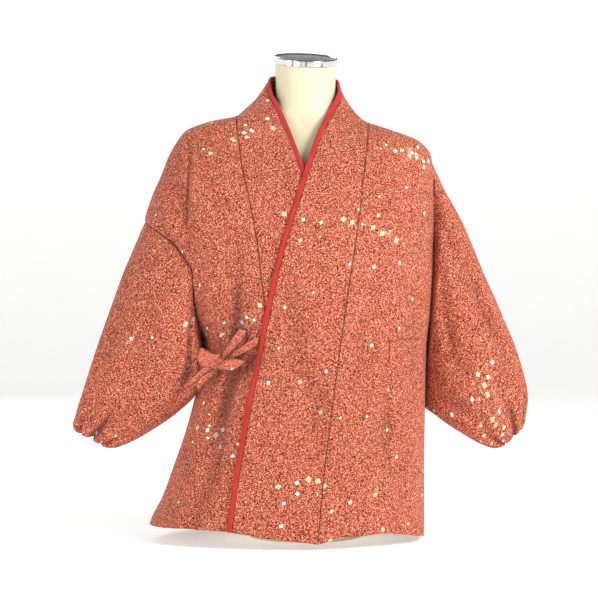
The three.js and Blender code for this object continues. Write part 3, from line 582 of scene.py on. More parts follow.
def curve(xs, ys, x):
    """Smooth curve through ys over rising xs that never overshoots."""
    xs = np.asarray(xs, float)
    ys = np.asarray(ys, float)
    x = np.clip(np.asarray(x, float), xs[0], xs[-1])
    wide = (1,) * (ys.ndim - 1)
    step = np.diff(xs).reshape((-1,) + wide)
    rise = np.diff(ys, axis=0) / step
    slope = np.zeros_like(ys)
    slope[0] = rise[0]
    slope[-1] = rise[-1]
    if len(xs) > 2:
        same = rise[:-1] * rise[1:] > 0
        w1 = 2 * step[1:] + step[:-1]
        w2 = step[1:] + 2 * step[:-1]
        sums = w1 / np.where(same, rise[:-1], 1) + w2 / np.where(same, rise[1:], 1)
        slope[1:-1] = np.where(same, (w1 + w2) / np.where(same, sums, 1), 0)
    i = np.clip(np.searchsorted(xs, x, side="right") - 1, 0, len(xs) - 2)
    h = step[i]
    t = (x - xs[i]).reshape(x.shape + wide) / h
    t2 = t * t
    t3 = t2 * t
    return ((2 * t3 - 3 * t2 + 1) * ys[i] + (t3 - 2 * t2 + t) * h * slope[i]
            + (3 * t2 - 2 * t3) * ys[i + 1] + (t3 - t2) * h * slope[i + 1])


def station(values, p):
    """Value at station p of a list, stations 0, 1, 2 ..."""
    return curve(np.arange(len(values)), values, p)


def running(steps, axis=0):
    """Sums of steps along an axis, starting at 0."""
    start = np.zeros_like(np.take(steps, [0], axis=axis))
    return np.concatenate([start, np.cumsum(steps, axis=axis)], axis=axis)


def lengths_along(points, axis=0):
    """Length run along an axis of a line or grid of points."""
    return running(np.linalg.norm(np.diff(points, axis=axis), axis=-1), axis)


def along(points, t):
    """Points at shares t of a plane polyline, by length, rounded off."""
    points = np.asarray(points, float)
    at = lengths_along(points)
    return curve(at, points, np.asarray(t, float) * at[-1])


def shares(count, close=0.0):
    """Shares 0..1 in even steps, with extra ones close to both ends."""
    even = np.linspace(0, 1, count + 1)
    if not close:
        return even
    near = close * np.array([0.25, 0.55, 1.0, 1.7])
    return np.unique(np.concatenate([even, near, 1 - near]))


# ---- meshes ----


def in_metres(points):
    """Points in metres above the foot, from millimetres above the datum."""
    points = np.asarray(points, float) * MM
    points[:, 2] += DATUM_Z * MM
    return points


def link_smooth(name, mesh, sharp):
    """Object of a mesh, shaded smooth but for edges over an angle in degrees."""
    mesh.polygons.foreach_set("use_smooth", [True] * len(mesh.polygons))
    mesh.set_sharp_from_angle(angle=math.radians(sharp))
    obj = bpy.data.objects.new(name, mesh)
    bpy.context.scene.collection.objects.link(obj)
    return obj


def cloth_object(name, points, faces, corners, uv, fields):
    """Cloth; `corners` holds the rows of `uv` for each face, `fields` its shades."""
    mesh = bpy.data.meshes.new(name)
    points = in_metres(points)
    a, b, c = (points[faces[:, k]] for k in range(3))
    if np.einsum("ij,ij->i", a, np.cross(b, c)).sum() < 0:
        faces = faces[:, ::-1]
        corners = corners[:, ::-1]
    mesh.from_pydata(points, [], faces.tolist())
    mesh.update()
    layer = mesh.uv_layers.new(name="cloth")
    layer.data.foreach_set("uv", uv[corners.ravel()].ravel())
    for key, values in fields.items():
        attribute = mesh.attributes.new(key, "FLOAT", "POINT")
        attribute.data.foreach_set("value", np.asarray(values, np.float32).ravel())
    return link_smooth(name, mesh, CLOTH_SHARP)


def cells(rows, columns):
    """Row and column numbers of a grid's cells, as two flat lists."""
    grids = np.meshgrid(np.arange(rows), np.arange(columns), indexing="ij")
    return [grid.ravel() for grid in grids]


def shell(name, outer, inner, uv, around=False, fields=None):
    """Closed sheet from an outer and an inner grid; rows are rings if `around`."""
    rows, cols = outer.shape[:2]
    last = cols if around else cols - 1
    i, j = cells(rows - 1, last)
    faces = []
    corners = []

    def quads(spots):
        faces.append(np.stack([s * rows * cols + a * cols + b % cols for s, a, b in spots], 1))
        corners.append(np.stack([a * uv.shape[1] + b for s, a, b in spots], 1))

    quads([(0, i, j), (0, i, j + 1), (0, i + 1, j + 1), (0, i + 1, j)])
    quads([(1, i, j), (1, i + 1, j), (1, i + 1, j + 1), (1, i, j + 1)])
    j = np.arange(last)
    low, high = np.zeros_like(j), np.full_like(j, rows - 1)
    quads([(0, low, j + 1), (0, low, j), (1, low, j), (1, low, j + 1)])
    quads([(0, high, j), (0, high, j + 1), (1, high, j + 1), (1, high, j)])
    if not around:
        i = np.arange(rows - 1)
        low, high = np.zeros_like(i), np.full_like(i, cols - 1)
        quads([(0, i, low), (0, i + 1, low), (1, i + 1, low), (1, i, low)])
        quads([(0, i + 1, high), (0, i, high), (1, i, high), (1, i + 1, high)])
    points = np.concatenate([outer.reshape(-1, 3), inner.reshape(-1, 3)])
    both = {key: np.concatenate([v.ravel(), v.ravel()]) for key, v in (fields or {}).items()}
    return cloth_object(name, points, np.concatenate(faces), np.concatenate(corners),
                        uv.reshape(-1, 2), both)


def flat_uv(grid, around=False, shift=(0.0, 0.0)):
    """Flat cloth coordinates in metres: lengths along rows and columns."""
    if around:
        grid = np.concatenate([grid, grid[:, :1]], axis=1)
    u = lengths_along(grid, 1)
    u -= u[:, -1:] / 2
    return np.stack([u, lengths_along(grid)], axis=2) * MM + np.array(shift)


def grid_normals(grid, out, around=False):
    """Outward normals of a grid; `out` holds rough outward directions."""
    up = np.empty_like(grid)
    up[1:-1] = grid[2:] - grid[:-2]
    up[0] = grid[1] - grid[0]
    up[-1] = grid[-1] - grid[-2]
    if around:
        right = np.roll(grid, -1, axis=1) - np.roll(grid, 1, axis=1)
    else:
        right = np.empty_like(grid)
        right[:, 1:-1] = grid[:, 2:] - grid[:, :-2]
        right[:, 0] = grid[:, 1] - grid[:, 0]
        right[:, -1] = grid[:, -1] - grid[:, -2]
    n = unit(np.cross(right, up))
    turn = np.sign(np.einsum("ijk,ijk->ij", n, np.broadcast_to(out, n.shape)))
    return n * np.where(turn == 0, 1, turn)[..., None]


def drift_field(grid):
    """Share of blossom at each point of a grid."""
    x, y, z = grid[..., 0], grid[..., 1], grid[..., 2]
    total = np.zeros(x.shape)
    for side, mx, mz, rx, rz, slope, share in zip(*DRIFTS.values()):
        along_x = (x - mx) / rx
        across = (z - mz - slope * (x - mx)) / rz
        near = np.exp(-(along_x ** 2 + across ** 2))
        total = np.maximum(total, share * near * (y * side > 0))
    return total


# ---- the body's form ----


def section(z):
    """Body's level section: its middle, half width, depth before and behind."""
    left = curve(BODY["z"], BODY["left"], z)
    right = curve(BODY["z"], BODY["right"], z)
    return ((left + right) / 2, (right - left) / 2,
            curve(BODY["z"], BODY["front"], z), curve(BODY["z"], BODY["back"], z))


def fold_depth(folds, x, z):
    """How far a table of folds takes the cloth in at (x, z)."""
    total = np.zeros(np.broadcast(x, z).shape)
    ridges = folds.get("ridge", np.zeros(len(folds["x"])))
    columns = [folds[key] for key in ("x", "z", "runX", "runZ", "depth", "width")]
    for fx, fz, run_x, run_z, deep, width, ridge in zip(*columns, ridges):
        side = (x - fx - run_x * (z - fz)) / width
        beside = side - np.sign(ridge) * RIDGE_BESIDE
        profile = hump(side) - abs(ridge) * hump(beside)
        total += deep * profile * hump(z - fz, run_z)
    return total


def folding(x, z, side):
    """How far folds and creases take the cloth in, and how open its level is."""
    middle, half, _, _ = section(z)
    u = np.minimum(1, np.abs((x - middle) / half))
    open_ = (1 - u ** ROUND) ** (1 / ROUND)
    folds = fold_depth(BACK_FOLDS if side > 0 else FRONT_FOLDS, x, z)
    fine = fold_depth(BACK_CREASES if side > 0 else FRONT_CREASES, x, z)
    return (folds + sizes().crease * fine) * smooth(0, 0.6, open_), open_


def depth(x, z, side):
    """Depth of the body below (x, z), away from y = 0 on the given side."""
    _, _, front, back = section(z)
    taken, open_ = folding(x, z, side)
    return size_mm("seam") / 2 + (back if side > 0 else front) * open_ - taken


def painted_shade(grid, side):
    """Painted shade of the cloth in its folds, and painted shadow below the bow."""
    x, z = grid[..., 0], grid[..., 2]
    taken, _ = folding(x, z, side)
    # Painted shade at the foot of each fold, deeper where the fold takes the cloth further in.
    shade = sizes().painted_shade * smooth(0.8, 9, taken)
    if side < 0:
        # Painted shadow where the bow lies over the cloth.
        for mx, mz, rx, rz, dark in zip(*BOW_SHADE.values()):
            off = ((x - mx) / rx) ** 2 + ((z - mz) / rz) ** 2
            shade = np.maximum(shade, dark * np.exp(-off))
    return shade


def front_lift(x, z):
    """How far the left front is raised over the right, fading to the shoulder."""
    return LAP * (1 - smooth(*LAP_FADE_X, x)) * (1 - smooth(*LAP_FADE_Z, z))


def side_edge(sign, z):
    return curve(BODY["z"], BODY["left"] if sign < 0 else BODY["right"], z)


def across_of(x, z):
    """Share across the body (-1 to 1) of a place x at height z."""
    middle, half, _, _ = section(z)
    return np.arcsin(np.clip((x - middle) / half, -1, 1)) / (math.pi / 2)


def x_of(s, z):
    """Place x at share s across the body and height z."""
    middle, half, _, _ = section(z)
    return middle + half * np.sin(s * math.pi / 2)


def body_point(s, z, side, lifted):
    """Point on the body at share s across and height z."""
    x = x_of(s, z)
    lift = front_lift(x, z) if lifted else 0
    return np.stack([x, side * (depth(x, z, side) + lift), z + 0 * x], axis=-1)


def body_normal(p, side, lifted):
    """Outward directions on the body, level across its side seams."""
    step, close = 0.4, 0.02
    x, z = p[..., 0], p[..., 2]

    def at(a, b):
        return depth(a, b, side) + (front_lift(a, b) if lifted else 0)

    slope_x = (at(x + step, z) - at(x - step, z)) / (2 * step)
    slope_z = (at(x, z + step) - at(x, z - step)) / (2 * step)
    n = unit(np.stack([-slope_x, side + 0 * x, -slope_z], axis=-1))
    at_seam = np.abs(np.abs(p[..., 1]) - size_mm("seam") / 2) < close
    n[at_seam, 1] = 0
    return unit(n)


def coons(bottom, top, left, right, us, vs):
    """Patch with four edge curves given as functions of 0..1."""
    b, t = bottom(us)[None], top(us)[None]
    l, r = left(vs)[:, None], right(vs)[:, None]
    u, v = us[None, :, None], vs[:, None, None]
    c00, c10, c01, c11 = b[:, :1], b[:, -1:], t[:, :1], t[:, -1:]
    return ((1 - v) * b + v * t + (1 - u) * l + u * r
            - (1 - u) * (1 - v) * c00 - u * (1 - v) * c10
            - (1 - u) * v * c01 - u * v * c11)


def ridge(sign, from_z, to_z):
    """Shoulder line, at the side edge all the way up."""
    z = np.linspace(from_z, to_z, 31)
    line = np.stack([side_edge(sign, z), z], axis=1)

    def point(t):
        level = np.clip(along(line, t)[..., 1], from_z, to_z)
        return np.stack([np.full(level.shape, float(sign)), level], axis=-1)
    return point


def outer_edge(name, hem, sign, rows, neck_z=None):
    """Outer edge of a panel: side seam, armhole and, behind, shoulder line."""
    seam = np.asarray(ARMHOLE[name], float)
    foot = curve(hem["x"], hem["z"], side_edge(sign, SIDE_FOOT))

    def point(v):
        row = np.asarray(v, float) * rows
        level = mix(foot, seam[0, 1], np.minimum(row / SIDE_ROWS, 1))
        side = np.stack([np.full(row.shape, float(sign)), level], axis=-1)
        arm = along(seam, np.clip((row - SIDE_ROWS) / ARM_ROWS, 0, 1))
        arm_s = np.where(row > ROWS - TINY, sign, across_of(arm[..., 0], arm[..., 1]))
        out = np.where((row <= SIDE_ROWS)[..., None], side,
                       np.stack([arm_s, arm[..., 1]], axis=-1))
        if neck_z is None:
            return out
        top = ridge(sign, seam[-1, 1], neck_z)(np.clip((row - ROWS) / RIDGE_ROWS, 0, 1))
        return np.where((row > ROWS)[..., None], top, out)
    return point


def hem_points(hem, s, level):
    """Hem at shares s across, placed by the body's section at a level."""
    return np.stack([s, curve(hem["x"], hem["z"], x_of(s, level))], axis=-1)


def hem_edge(hem, to_x, sign):
    """Hem of a front panel from the side edge to to_x."""
    level = curve(hem["x"], hem["z"], to_x)
    end = across_of(to_x, level)
    return lambda t: hem_points(hem, mix(sign, end, t), level)


def row_numbers(rows=ROWS):
    """Row numbers from hem to top, with extra ones close to the hem."""
    fine = sizes().fineness
    return np.unique(np.concatenate([np.arange(rows * fine + 1) / fine, HEM_EXTRA]))


def from_ends(t, length):
    """Distance to the nearer end, t = 0 or 1, of rows so long."""
    return np.minimum(t, 1 - t) * length


def rolled(distance):
    """How far cloth rolls in at a distance from a sewn edge."""
    return size_mm("groove") * hump(distance, ROLL_REACH)


def sewn(distance):
    """Painted shade of the line along a sewn edge."""
    return hump(distance, SEAM_REACH)


def panel_shell(name, grid, normals, side, shift):
    """Cloth of a panel, rolled in at its sewn side edges."""
    run = lengths_along(grid, 1)
    edge = from_ends(run / run[:, -1:], run[:, -1:])
    outer = grid - normals * rolled(edge)[..., None]
    inner = grid - normals * size_mm("cloth")
    # Painted shade along the sewn side edges and in the folds.
    dark = np.maximum(sewn(edge), painted_shade(grid, side))
    return shell(name, outer, inner, flat_uv(grid, shift=shift),
                 fields={"drift": drift_field(grid), "seam": dark})


def collar_seam(stations, p):
    """Seam line of a collar at stations p: its x and its height."""
    return station(stations["sx"], p), station(stations["sz"], p)


def behind_shoulder(row):
    """Collar station of a row counted from the shoulder to the centre back."""
    last = len(COLLAR_LEFT["sx"]) - 1
    return RIDGE_STATION + row * (last - RIDGE_STATION) / NECK_ROWS


def front_panel(side, shift):
    """Front from hem to shoulder, between its outer edge and its collar's seam."""
    sign, lifted, stations = SIGN[side], side == "left", COLLARS[side]
    seam_name = side + "Front"
    bottom = hem_edge(HEM_FRONT, stations["sx"][0], sign)
    outer = outer_edge(seam_name, HEM_FRONT, sign, ROWS)
    top = ridge(sign, ARMHOLE[seam_name][-1][1], stations["sz"][RIDGE_STATION])

    def inner(v):
        x, z = collar_seam(stations, v * RIDGE_STATION)
        s = np.where(v > 1 - TINY, sign, across_of(x, z))
        return np.stack([s, z], axis=-1)

    us = shares(FRONT_COLUMNS * sizes().fineness, 0.007)
    flat = coons(bottom, top, outer, inner, us, row_numbers() / ROWS)
    grid = body_point(flat[..., 0], flat[..., 1], -1, lifted)
    normals = body_normal(grid, -1, lifted)
    return panel_shell(f"front_{side}_cloth", grid, normals, -1, shift)


def neckline(t):
    """Back neckline from the right shoulder round to the left."""
    k = t * 2 * NECK_ROWS
    on_right = k <= NECK_ROWS
    row = np.where(on_right, k, 2 * NECK_ROWS - k)
    xr, zr = collar_seam(COLLAR_RIGHT, behind_shoulder(row))
    xl, zl = collar_seam(COLLAR_LEFT, behind_shoulder(row))
    x, z = np.where(on_right, xr, xl), np.where(on_right, zr, zl)
    s = np.where(row < TINY, np.where(on_right, -1, 1), across_of(x, z))
    return np.stack([s, z], axis=-1)


def back_panel(shift):
    """Back from hem to neckline, over the shoulder line at both sides."""
    rows = ROWS + RIDGE_ROWS
    right, left = (outer_edge(side + "Back", HEM_BACK, SIGN[side], rows,
                              COLLARS[side]["sz"][RIDGE_STATION]) for side in ("right", "left"))
    us = shares(BACK_COLUMNS * sizes().fineness, 0.004)
    flat = coons(lambda t: hem_points(HEM_BACK, mix(-1, 1, t), HEM_LEVEL), neckline,
                 right, left, us, row_numbers(rows) / rows)
    grid = body_point(flat[..., 0], flat[..., 1], 1, False)
    return panel_shell("back_cloth", grid, body_normal(grid, 1, False), 1, shift)


# ---- collar and binding ----


def collar_rows(side):
    """Seam and edge points of a collar with their standing share and lap."""
    stations, sign, lifted = COLLARS[side], SIGN[side], side == "left"
    fine = sizes().fineness
    behind_rows = ROWS + np.arange(1, NECK_ROWS * fine + 1) / fine
    rows = np.concatenate([row_numbers(), behind_rows])
    behind = rows > ROWS + TINY
    p = np.where(behind, behind_shoulder(rows - ROWS), rows * RIDGE_STATION / ROWS)
    sx, sz = collar_seam(stations, p)
    limit = side_edge(sign, sz)
    at_ridge = np.abs(rows - ROWS) < TINY
    sx = np.where(at_ridge | (sx * sign > limit * sign), limit, sx)

    def in_front(x, z):
        return -depth(x, z, -1) - (front_lift(x, z) if lifted else 0)

    sy = np.where(behind, depth(sx, sz, 1), in_front(sx, sz))
    sy = np.where(at_ridge, 0, sy)
    ex, ez = station(stations["ex"], p), station(stations["ez"], p)
    lap = front_lift(ex, ez) if lifted else 0 * ex
    key_y = np.where(np.isnan(stations["ey"]), in_front(stations["ex"], stations["ez"]),
                     stations["ey"])
    ey = mix(in_front(ex, ez), station(key_y, p), smooth(*EDGE_IS_FREE, p))
    seam = np.stack([sx, sy, sz], axis=-1)
    edge = np.stack([ex, ey, ez], axis=-1)
    return seam, edge, smooth(*COLLAR_STANDS, p), lap, behind


def collar_points(seam, edge, stand, lap, d, sag):
    """Grid of collar points at distances d (rows, cols) from the seam line."""
    across = edge - seam
    r = d / np.linalg.norm(across, axis=1)[:, None]
    straight = seam[:, None] + across[:, None] * r[..., None]
    stood = straight.copy()
    stood[..., 2] -= sag * 4 * r * (1 - r) * stand[:, None]
    on_body = straight.copy()
    on_body[..., 1] = -depth(straight[..., 0], straight[..., 2], -1) - lap[:, None]
    off_edge = edge[:, 1] + depth(edge[:, 0], edge[:, 2], -1) + lap
    off_seam = seam[:, 1] + depth(seam[:, 0], seam[:, 2], -1) + lap
    on_body[..., 1] += r * off_edge[:, None] + (1 - r) * off_seam[:, None]
    return mix(on_body, stood, stand[:, None, None])


def collar_grid(side, d, seam, edge, stand, lap, behind):
    """Points and outward directions of a collar at distances d from its seam."""
    grid = collar_points(seam, edge, stand, lap, d, size_mm("sag") if side == "left" else 0)
    from_neck = grid * [1, 1, 0] - [0, 20, -60]
    out = np.where(grid[..., 2:3] < CHEST_TOP, [0.0, -1.0, 0.0], from_neck)
    normals = grid_normals(grid, out)
    grid[-1, :, 0] = SIGN[side] * size_mm("seam") / 2
    normals[-1, :, 0] = 0
    front_n = body_normal(seam, -1, side == "left")
    back_n = body_normal(seam, 1, False)
    normals[:, 0] = np.where(behind[:, None], back_n, front_n)
    return grid, normals


def collar(side, shift):
    """Collar band and the binding along its edge."""
    width, seam_gap, proud = (size_mm(key) for key in ("binding", "seam", "binding_proud"))
    seam, edge, stand, lap, behind = collar_rows(side)
    whole = np.linalg.norm(edge - seam, axis=1)[:, None]
    cloth_t = shares(COLLAR_COLUMNS * sizes().fineness, 0.012)
    trim_t = np.linspace(0, 1, BINDING_COLUMNS + 1)
    count = len(cloth_t)
    d = np.concatenate([mix(seam_gap, whole - width - seam_gap, cloth_t[None]),
                        whole - width + width * trim_t[None]], axis=1)
    grid, normals = collar_grid(side, d, seam, edge, stand, lap, behind)
    shared = unit(normals[:, count - 1] + normals[:, count])
    normals[:, count - 1] = shared
    normals[:, count] = shared
    normals = unit(normals)
    cloth, cloth_n = grid[:, :count], normals[:, :count]
    from_edge = from_ends(cloth_t[None], whole - width)
    # Painted shade in the folds where the collar lies on the body, and along its sewn edges.
    folded = painted_shade(cloth, -1) * (1 - stand[:, None])
    cloth_obj = shell(f"collar_{side}_cloth", cloth - cloth_n * rolled(from_edge)[..., None],
                      cloth - cloth_n * size_mm("collar"), flat_uv(cloth, shift=shift),
                      fields={"drift": drift_field(cloth),
                              "seam": np.maximum(sewn(from_edge), folded)})
    trim, trim_n = grid[:, count:], normals[:, count:]
    rounding = np.abs(2 * trim_t - 1) ** 5
    crown = proud + BINDING_CROWN - BINDING_FOLDS[0] * rounding
    under = proud - size_mm("binding_wall") + BINDING_FOLDS[1] * rounding
    trim_obj = shell(f"binding_{side}_cloth", trim + trim_n * crown[None, :, None],
                     trim + trim_n * under[None, :, None], flat_uv(trim, shift=shift))
    return cloth_obj, trim_obj


# ---- sleeves ----


def armhole_ring(side):
    """Armhole from its top down the front and up the back, with directions."""
    sign, lifted, fine = SIGN[side], side == "left", sizes().fineness
    count = 2 * ARM_ROWS * fine
    k = np.arange(count)
    on_front = k <= count // 2
    row = np.where(on_front, ROWS - k / fine, ROWS - 2 * ARM_ROWS + k / fine)
    f = outer_edge(side + "Front", HEM_FRONT, sign, ROWS)(row / ROWS)
    b = outer_edge(side + "Back", HEM_BACK, sign, ROWS)(row / ROWS)
    a = body_point(f[:, 0], f[:, 1], -1, lifted)
    c = body_point(b[:, 0], b[:, 1], 1, False)
    na, nb = body_normal(a, -1, lifted), body_normal(c, 1, False)
    point = np.where(on_front[:, None], a, c)
    normal = np.where(on_front[:, None], na, nb)
    for j in (0, count // 2):
        point[j] = (a[j] + c[j]) / 2
        normal[j] = unit(na[j] + nb[j])
    run = np.roll(point, -1, axis=0) - np.roll(point, 1, axis=0)
    away = unit(np.cross(normal, run)) * sign
    return point, normal, away


def clear_of_body(p, sign, clearance):
    """Keeps sleeve points clear of the body's side."""
    z = np.minimum(p[..., 2], CHEST_TOP)
    middle, half, front, back = section(z)
    full = np.where(p[..., 1] < 0, front + LAP, back) + clearance
    v = np.abs(p[..., 1]) / full
    inside = np.maximum(1 - np.minimum(v, 1) ** ROUND, 0) ** (1 / ROUND)
    limit = middle + sign * (half * inside + clearance)
    x = np.where((v < 1) & ((p[..., 0] - limit) * sign < 0), limit, p[..., 0])
    return np.stack([x, p[..., 1], p[..., 2]], axis=-1)


def sleeve_keys(sections, ring):
    """Rings of points: the armhole, then one for each row of the table."""
    count = len(ring)
    angle = 2 * math.pi * np.arange(count) / count
    t = (1 - np.cos(angle)) / 2
    bulge = np.abs(np.sin(angle)) ** 0.85
    keys = [ring]
    for xo, zo, xi, zi, yo, yi, front, back in zip(*sections.values()):
        full = np.where(angle < math.pi, -front, back)
        keys.append(np.stack([mix(xo, xi, t), mix(yo, yi, t) + full * bulge,
                              mix(zo, zi, t)], axis=-1))
    return np.array(keys)


def tube_uv(grid, shift):
    """Flat coordinates of a tube: along its axis, and round it square to that."""
    centre = grid.mean(axis=1)
    axis = unit(np.gradient(centre, axis=0))
    closed = np.concatenate([grid, grid[:, :1]], axis=1)
    v = lengths_along(centre)[:, None]
    v = v + np.einsum("ijk,ik->ij", closed - centre[:, None], axis)
    step = np.diff(closed, axis=1)
    ahead = np.einsum("ijk,ik->ij", step, axis)
    width = np.sqrt(np.maximum((step ** 2).sum(axis=2) - ahead ** 2, 0))
    u = running(width, 1)
    u -= u[:, -1:] / 2
    return np.stack([u, v], axis=2) * MM + np.array(shift)


def wrapped(turns):
    """Turns round a sleeve brought to between -0.5 and 0.5."""
    return (turns + 0.5) % 1 - 0.5


def cuff_waves(to_cuff, girth, pleats):
    """How far the gathers push the cloth out near a cuff, and its pleats in."""
    count = to_cuff.shape[1]
    spin = 2 * math.pi * np.arange(count) / count
    around = np.arange(count)[None] / count
    wave = np.zeros(to_cuff.shape)
    for number, phase, deep, reach in zip(*GATHERS.values()):
        bend = phase + 0.5 * np.sin(2 * spin + phase)
        wave += deep * np.cos(number * spin + bend)[None] * np.exp(-(to_cuff / reach))
    for place, deep, width, reach in zip(*pleats.values()):
        across = hump(wrapped(around - place) * girth, width)
        wave -= deep * (across * np.exp(-(to_cuff / reach) ** 1.4))
    return wave


def sleeve_dents(down, count, girth, creases):
    """How far the creases take a sleeve in, ring by ring."""
    around = np.arange(count)[None] / count
    down = down[:, None]
    dent = np.zeros((len(down), count))
    for cd, cr, drift, reach, deep, width in zip(*creases.values()):
        across = wrapped(around - cr - drift * (down - cd)) * girth / width
        shape = hump(across) - SLEEVE_RIDGE * hump(across - RIDGE_BESIDE)
        dent += deep * shape * hump(down - cd, reach)
    return dent * smooth(0.0, 0.10, down)


def sleeve(side, sections, creases, pleats, shift):
    """Sleeve from its armhole to the cuff; `down` is the share of that way."""
    s, sign = sizes(), SIGN[side]
    point, normal, away = armhole_ring(side)
    keys = sleeve_keys(sections, point)
    count = len(point)
    even = np.linspace(0, 1, SLEEVE_RINGS * (s.fineness + 3) + 1)
    down = np.unique(np.concatenate([even, SEAM_RINGS]))
    grid = station(keys, down * (len(keys) - 1))
    clearance = size_mm("ease") * smooth(0, 1, down * SLEEVE_RINGS)[:, None]
    cleared = clear_of_body(grid, sign, clearance)
    grid = np.where((down > 0)[:, None, None], cleared, grid)
    step = np.linalg.norm(np.diff(grid, axis=0), axis=2)
    from_seam, to_cuff = running(step), running(step[::-1])[::-1]
    girth = np.linalg.norm(np.roll(grid, -1, axis=1) - grid, axis=2).sum(axis=1)[:, None]
    wave = cuff_waves(to_cuff, girth, pleats)
    dent = sleeve_dents(down, count, girth, creases)

    # The elastic draws the cuff in, and the cloth beyond it stands out.
    middle = grid.mean(axis=1, keepdims=True)
    pinch = 3.2 * hump(to_cuff, 26) - 4.2 * hump(to_cuff, 5)
    ending = unit(middle[-1] - middle[-4])
    frill = 0.55 * (wave + 3) * hump(to_cuff, 10)
    grid = grid + unit(grid - middle) * (wave + pinch)[..., None] + ending * frill[..., None]

    # Where the sleeve turns back at the seam, its first ring stands over it.
    ahead = unit(grid[min(s.fineness, 4)] - point)
    turned = smooth(0.5, -0.2, np.einsum("ij,ij->i", ahead, away))
    grid[0] = point + unit(away + normal * turned[:, None]) * size_mm("seam")
    normals = grid_normals(grid, grid - middle, around=True)
    normals[0] = unit(mix(normal, normals[0], turned[:, None]))
    blend = smooth(0.012, 0.0, down)[:, None, None]
    normals = unit(mix(normals, normals[:1], blend * (down > 0)[:, None, None]))

    grid = grid - normals * dent[..., None]
    outer = grid - normals * rolled(from_seam)[..., None]
    inner = grid - normals * size_mm("cloth")
    # Painted shade in the creases and pleats, in the recess where the sleeve turns back at the
    # seam, and along the seam line.
    folded = s.painted_shade * np.maximum(smooth(0.6, 6, dent), 1.2 * smooth(1.5, 9, -wave))
    recess = 0.15 * turned * hump(from_seam, 11)
    line = (1 - 0.6 * turned) * sewn(from_seam)
    seam = np.maximum(np.maximum(line, recess), folded)

    # The cloth map's own edge goes to the back of the underarm.
    turn = count * 5 // 8
    outer, inner, grid, seam = (np.roll(g, -turn, axis=1)
                                for g in (outer, inner, grid, seam))
    return shell(f"sleeve_{side}_cloth", outer, inner, tube_uv(grid, shift), around=True,
                 fields={"drift": drift_field(grid), "seam": seam})


# ---- pocket ----


def pocket_panel(shift):
    """Patch pocket on the left front, a little full between its sewn edges."""
    us, vs = shares(60, 0.02), shares(80, 0.008)
    sides = [across_of(POCKET[key], POCKET["level"]) for key in ("inner", "outer")]
    x = x_of(mix(*sides, us), POCKET["level"])
    foot = POCKET["foot"] - POCKET["drop"] * smooth(0.55, 1, us)
    z = mix(foot[None], POCKET["top"], vs[:, None])
    x = np.broadcast_to(x[None], z.shape)
    y = -depth(x, z, -1) - front_lift(x, z)
    grid = np.stack([x, y, z], axis=-1)
    normals = body_normal(grid, -1, True)
    run_x = from_ends(us, POCKET["width"])[None]
    run_z = vs[:, None] * POCKET["height"]
    edge = np.minimum(run_x, run_z)
    raised = 0.35 + 0.9 * smooth(0, 9, edge) + 0.8 * smooth(0.8, 1, vs[:, None])
    base = grid + normals * raised[..., None]
    wall = size_mm("cloth") - 0.75 * hump(edge, 1.4)
    # Painted shade along the sewn sides, strongest from 272 mm up, along the foot and in the
    # folds.
    side_line = (0.12 + 0.7 * smooth(262, 272, z)) * hump(run_x, 1.0)
    foot_line = 0.75 * hump(run_z, 1.0)
    dark = np.maximum(np.maximum(side_line, foot_line), painted_shade(grid, -1))
    return shell("pocket_cloth", base + normals * wall[..., None], base,
                 flat_uv(grid, shift=shift),
                 fields={"drift": drift_field(grid) * 0.5, "seam": dark})


# ---- ties and bow ----


def ribbon(name, rows, thick, bulge, shift, crease=0.0, fold=0.25):
    """Folded tape; each row holds a point of both edges and the painted shade there."""
    edges = np.asarray(rows, float)
    last = len(edges) - 1
    steps = np.linspace(0, last, last * TAPE_STEPS + 1)
    a, b = station(edges[:, :3], steps), station(edges[:, 3:6], steps)
    t = np.linspace(-1, 1, TAPE_COLUMNS)
    flat = mix(a[:, None], b[:, None], ((t + 1) / 2)[None, :, None])
    ahead = unit(np.gradient(flat.mean(axis=1), axis=0))
    face = unit(np.cross(b - a, ahead))
    face *= -np.sign(face[0, 1])
    puff = thick / 2 * (1 - 0.65 * np.abs(t) ** 8)
    dent = crease * hump(t - fold, 0.16)
    ripple = 0.22 * np.sin(steps * 2.3)[:, None] * np.cos(t * 4.0)[None]
    along_it = np.sin(np.linspace(0.15, 0.95, len(steps)) * math.pi)
    swell = bulge * (1 - t ** 2) * along_it[:, None]
    front = flat + face[:, None] * (swell + puff - dent + ripple)[..., None]
    rear = flat + face[:, None] * (swell - puff + ripple)[..., None]
    half = np.linalg.norm(b - a, axis=1)[:, None] / 2
    # Painted shade along the tape's edges and its crease line, standing in for the dark slits
    # between the bow's layers.
    edge = 0.9 * hump((1 - np.abs(t)) * half, 1.15)
    line = min(crease, 1) * hump((t - fold) * half, 0.9)
    seam = np.maximum(np.maximum(edge, line), station(edges[:, 6], steps)[:, None])
    return shell(name, front, rear, flat_uv(flat, shift=shift),
                 fields={"drift": np.zeros(flat.shape[:2]), "seam": seam,
                         "tape": np.ones(flat.shape[:2])})


def knot(name, centre, reach, lean, shift):
    """Wrapped knot: a rounded lump with turns of tape round it, leaning aside."""
    v = np.linspace(0.01, 0.99, 41)
    a = 2 * math.pi * np.arange(64) / 64
    angle = math.pi * (v - 0.5)
    turn = np.abs(np.sin(3.0 * math.pi * v[:, None] + 0.5 * np.cos(a)[None])) ** 0.6
    turns = 0.86 + 0.16 * turn
    r = (np.cos(angle) ** 0.6)[:, None]
    x = reach[0] * r * np.cos(a)[None] * turns
    y = reach[1] * r * np.sin(a)[None] * turns
    z = np.broadcast_to((reach[2] * np.sin(angle))[:, None], x.shape)
    aside, up = math.sin(lean), math.cos(lean)
    grid = np.stack([x * up + z * aside, y, z * up - x * aside], axis=-1)
    grid += np.asarray(centre, float)
    return solid(name, grid, flat_uv(grid, around=True, shift=shift))


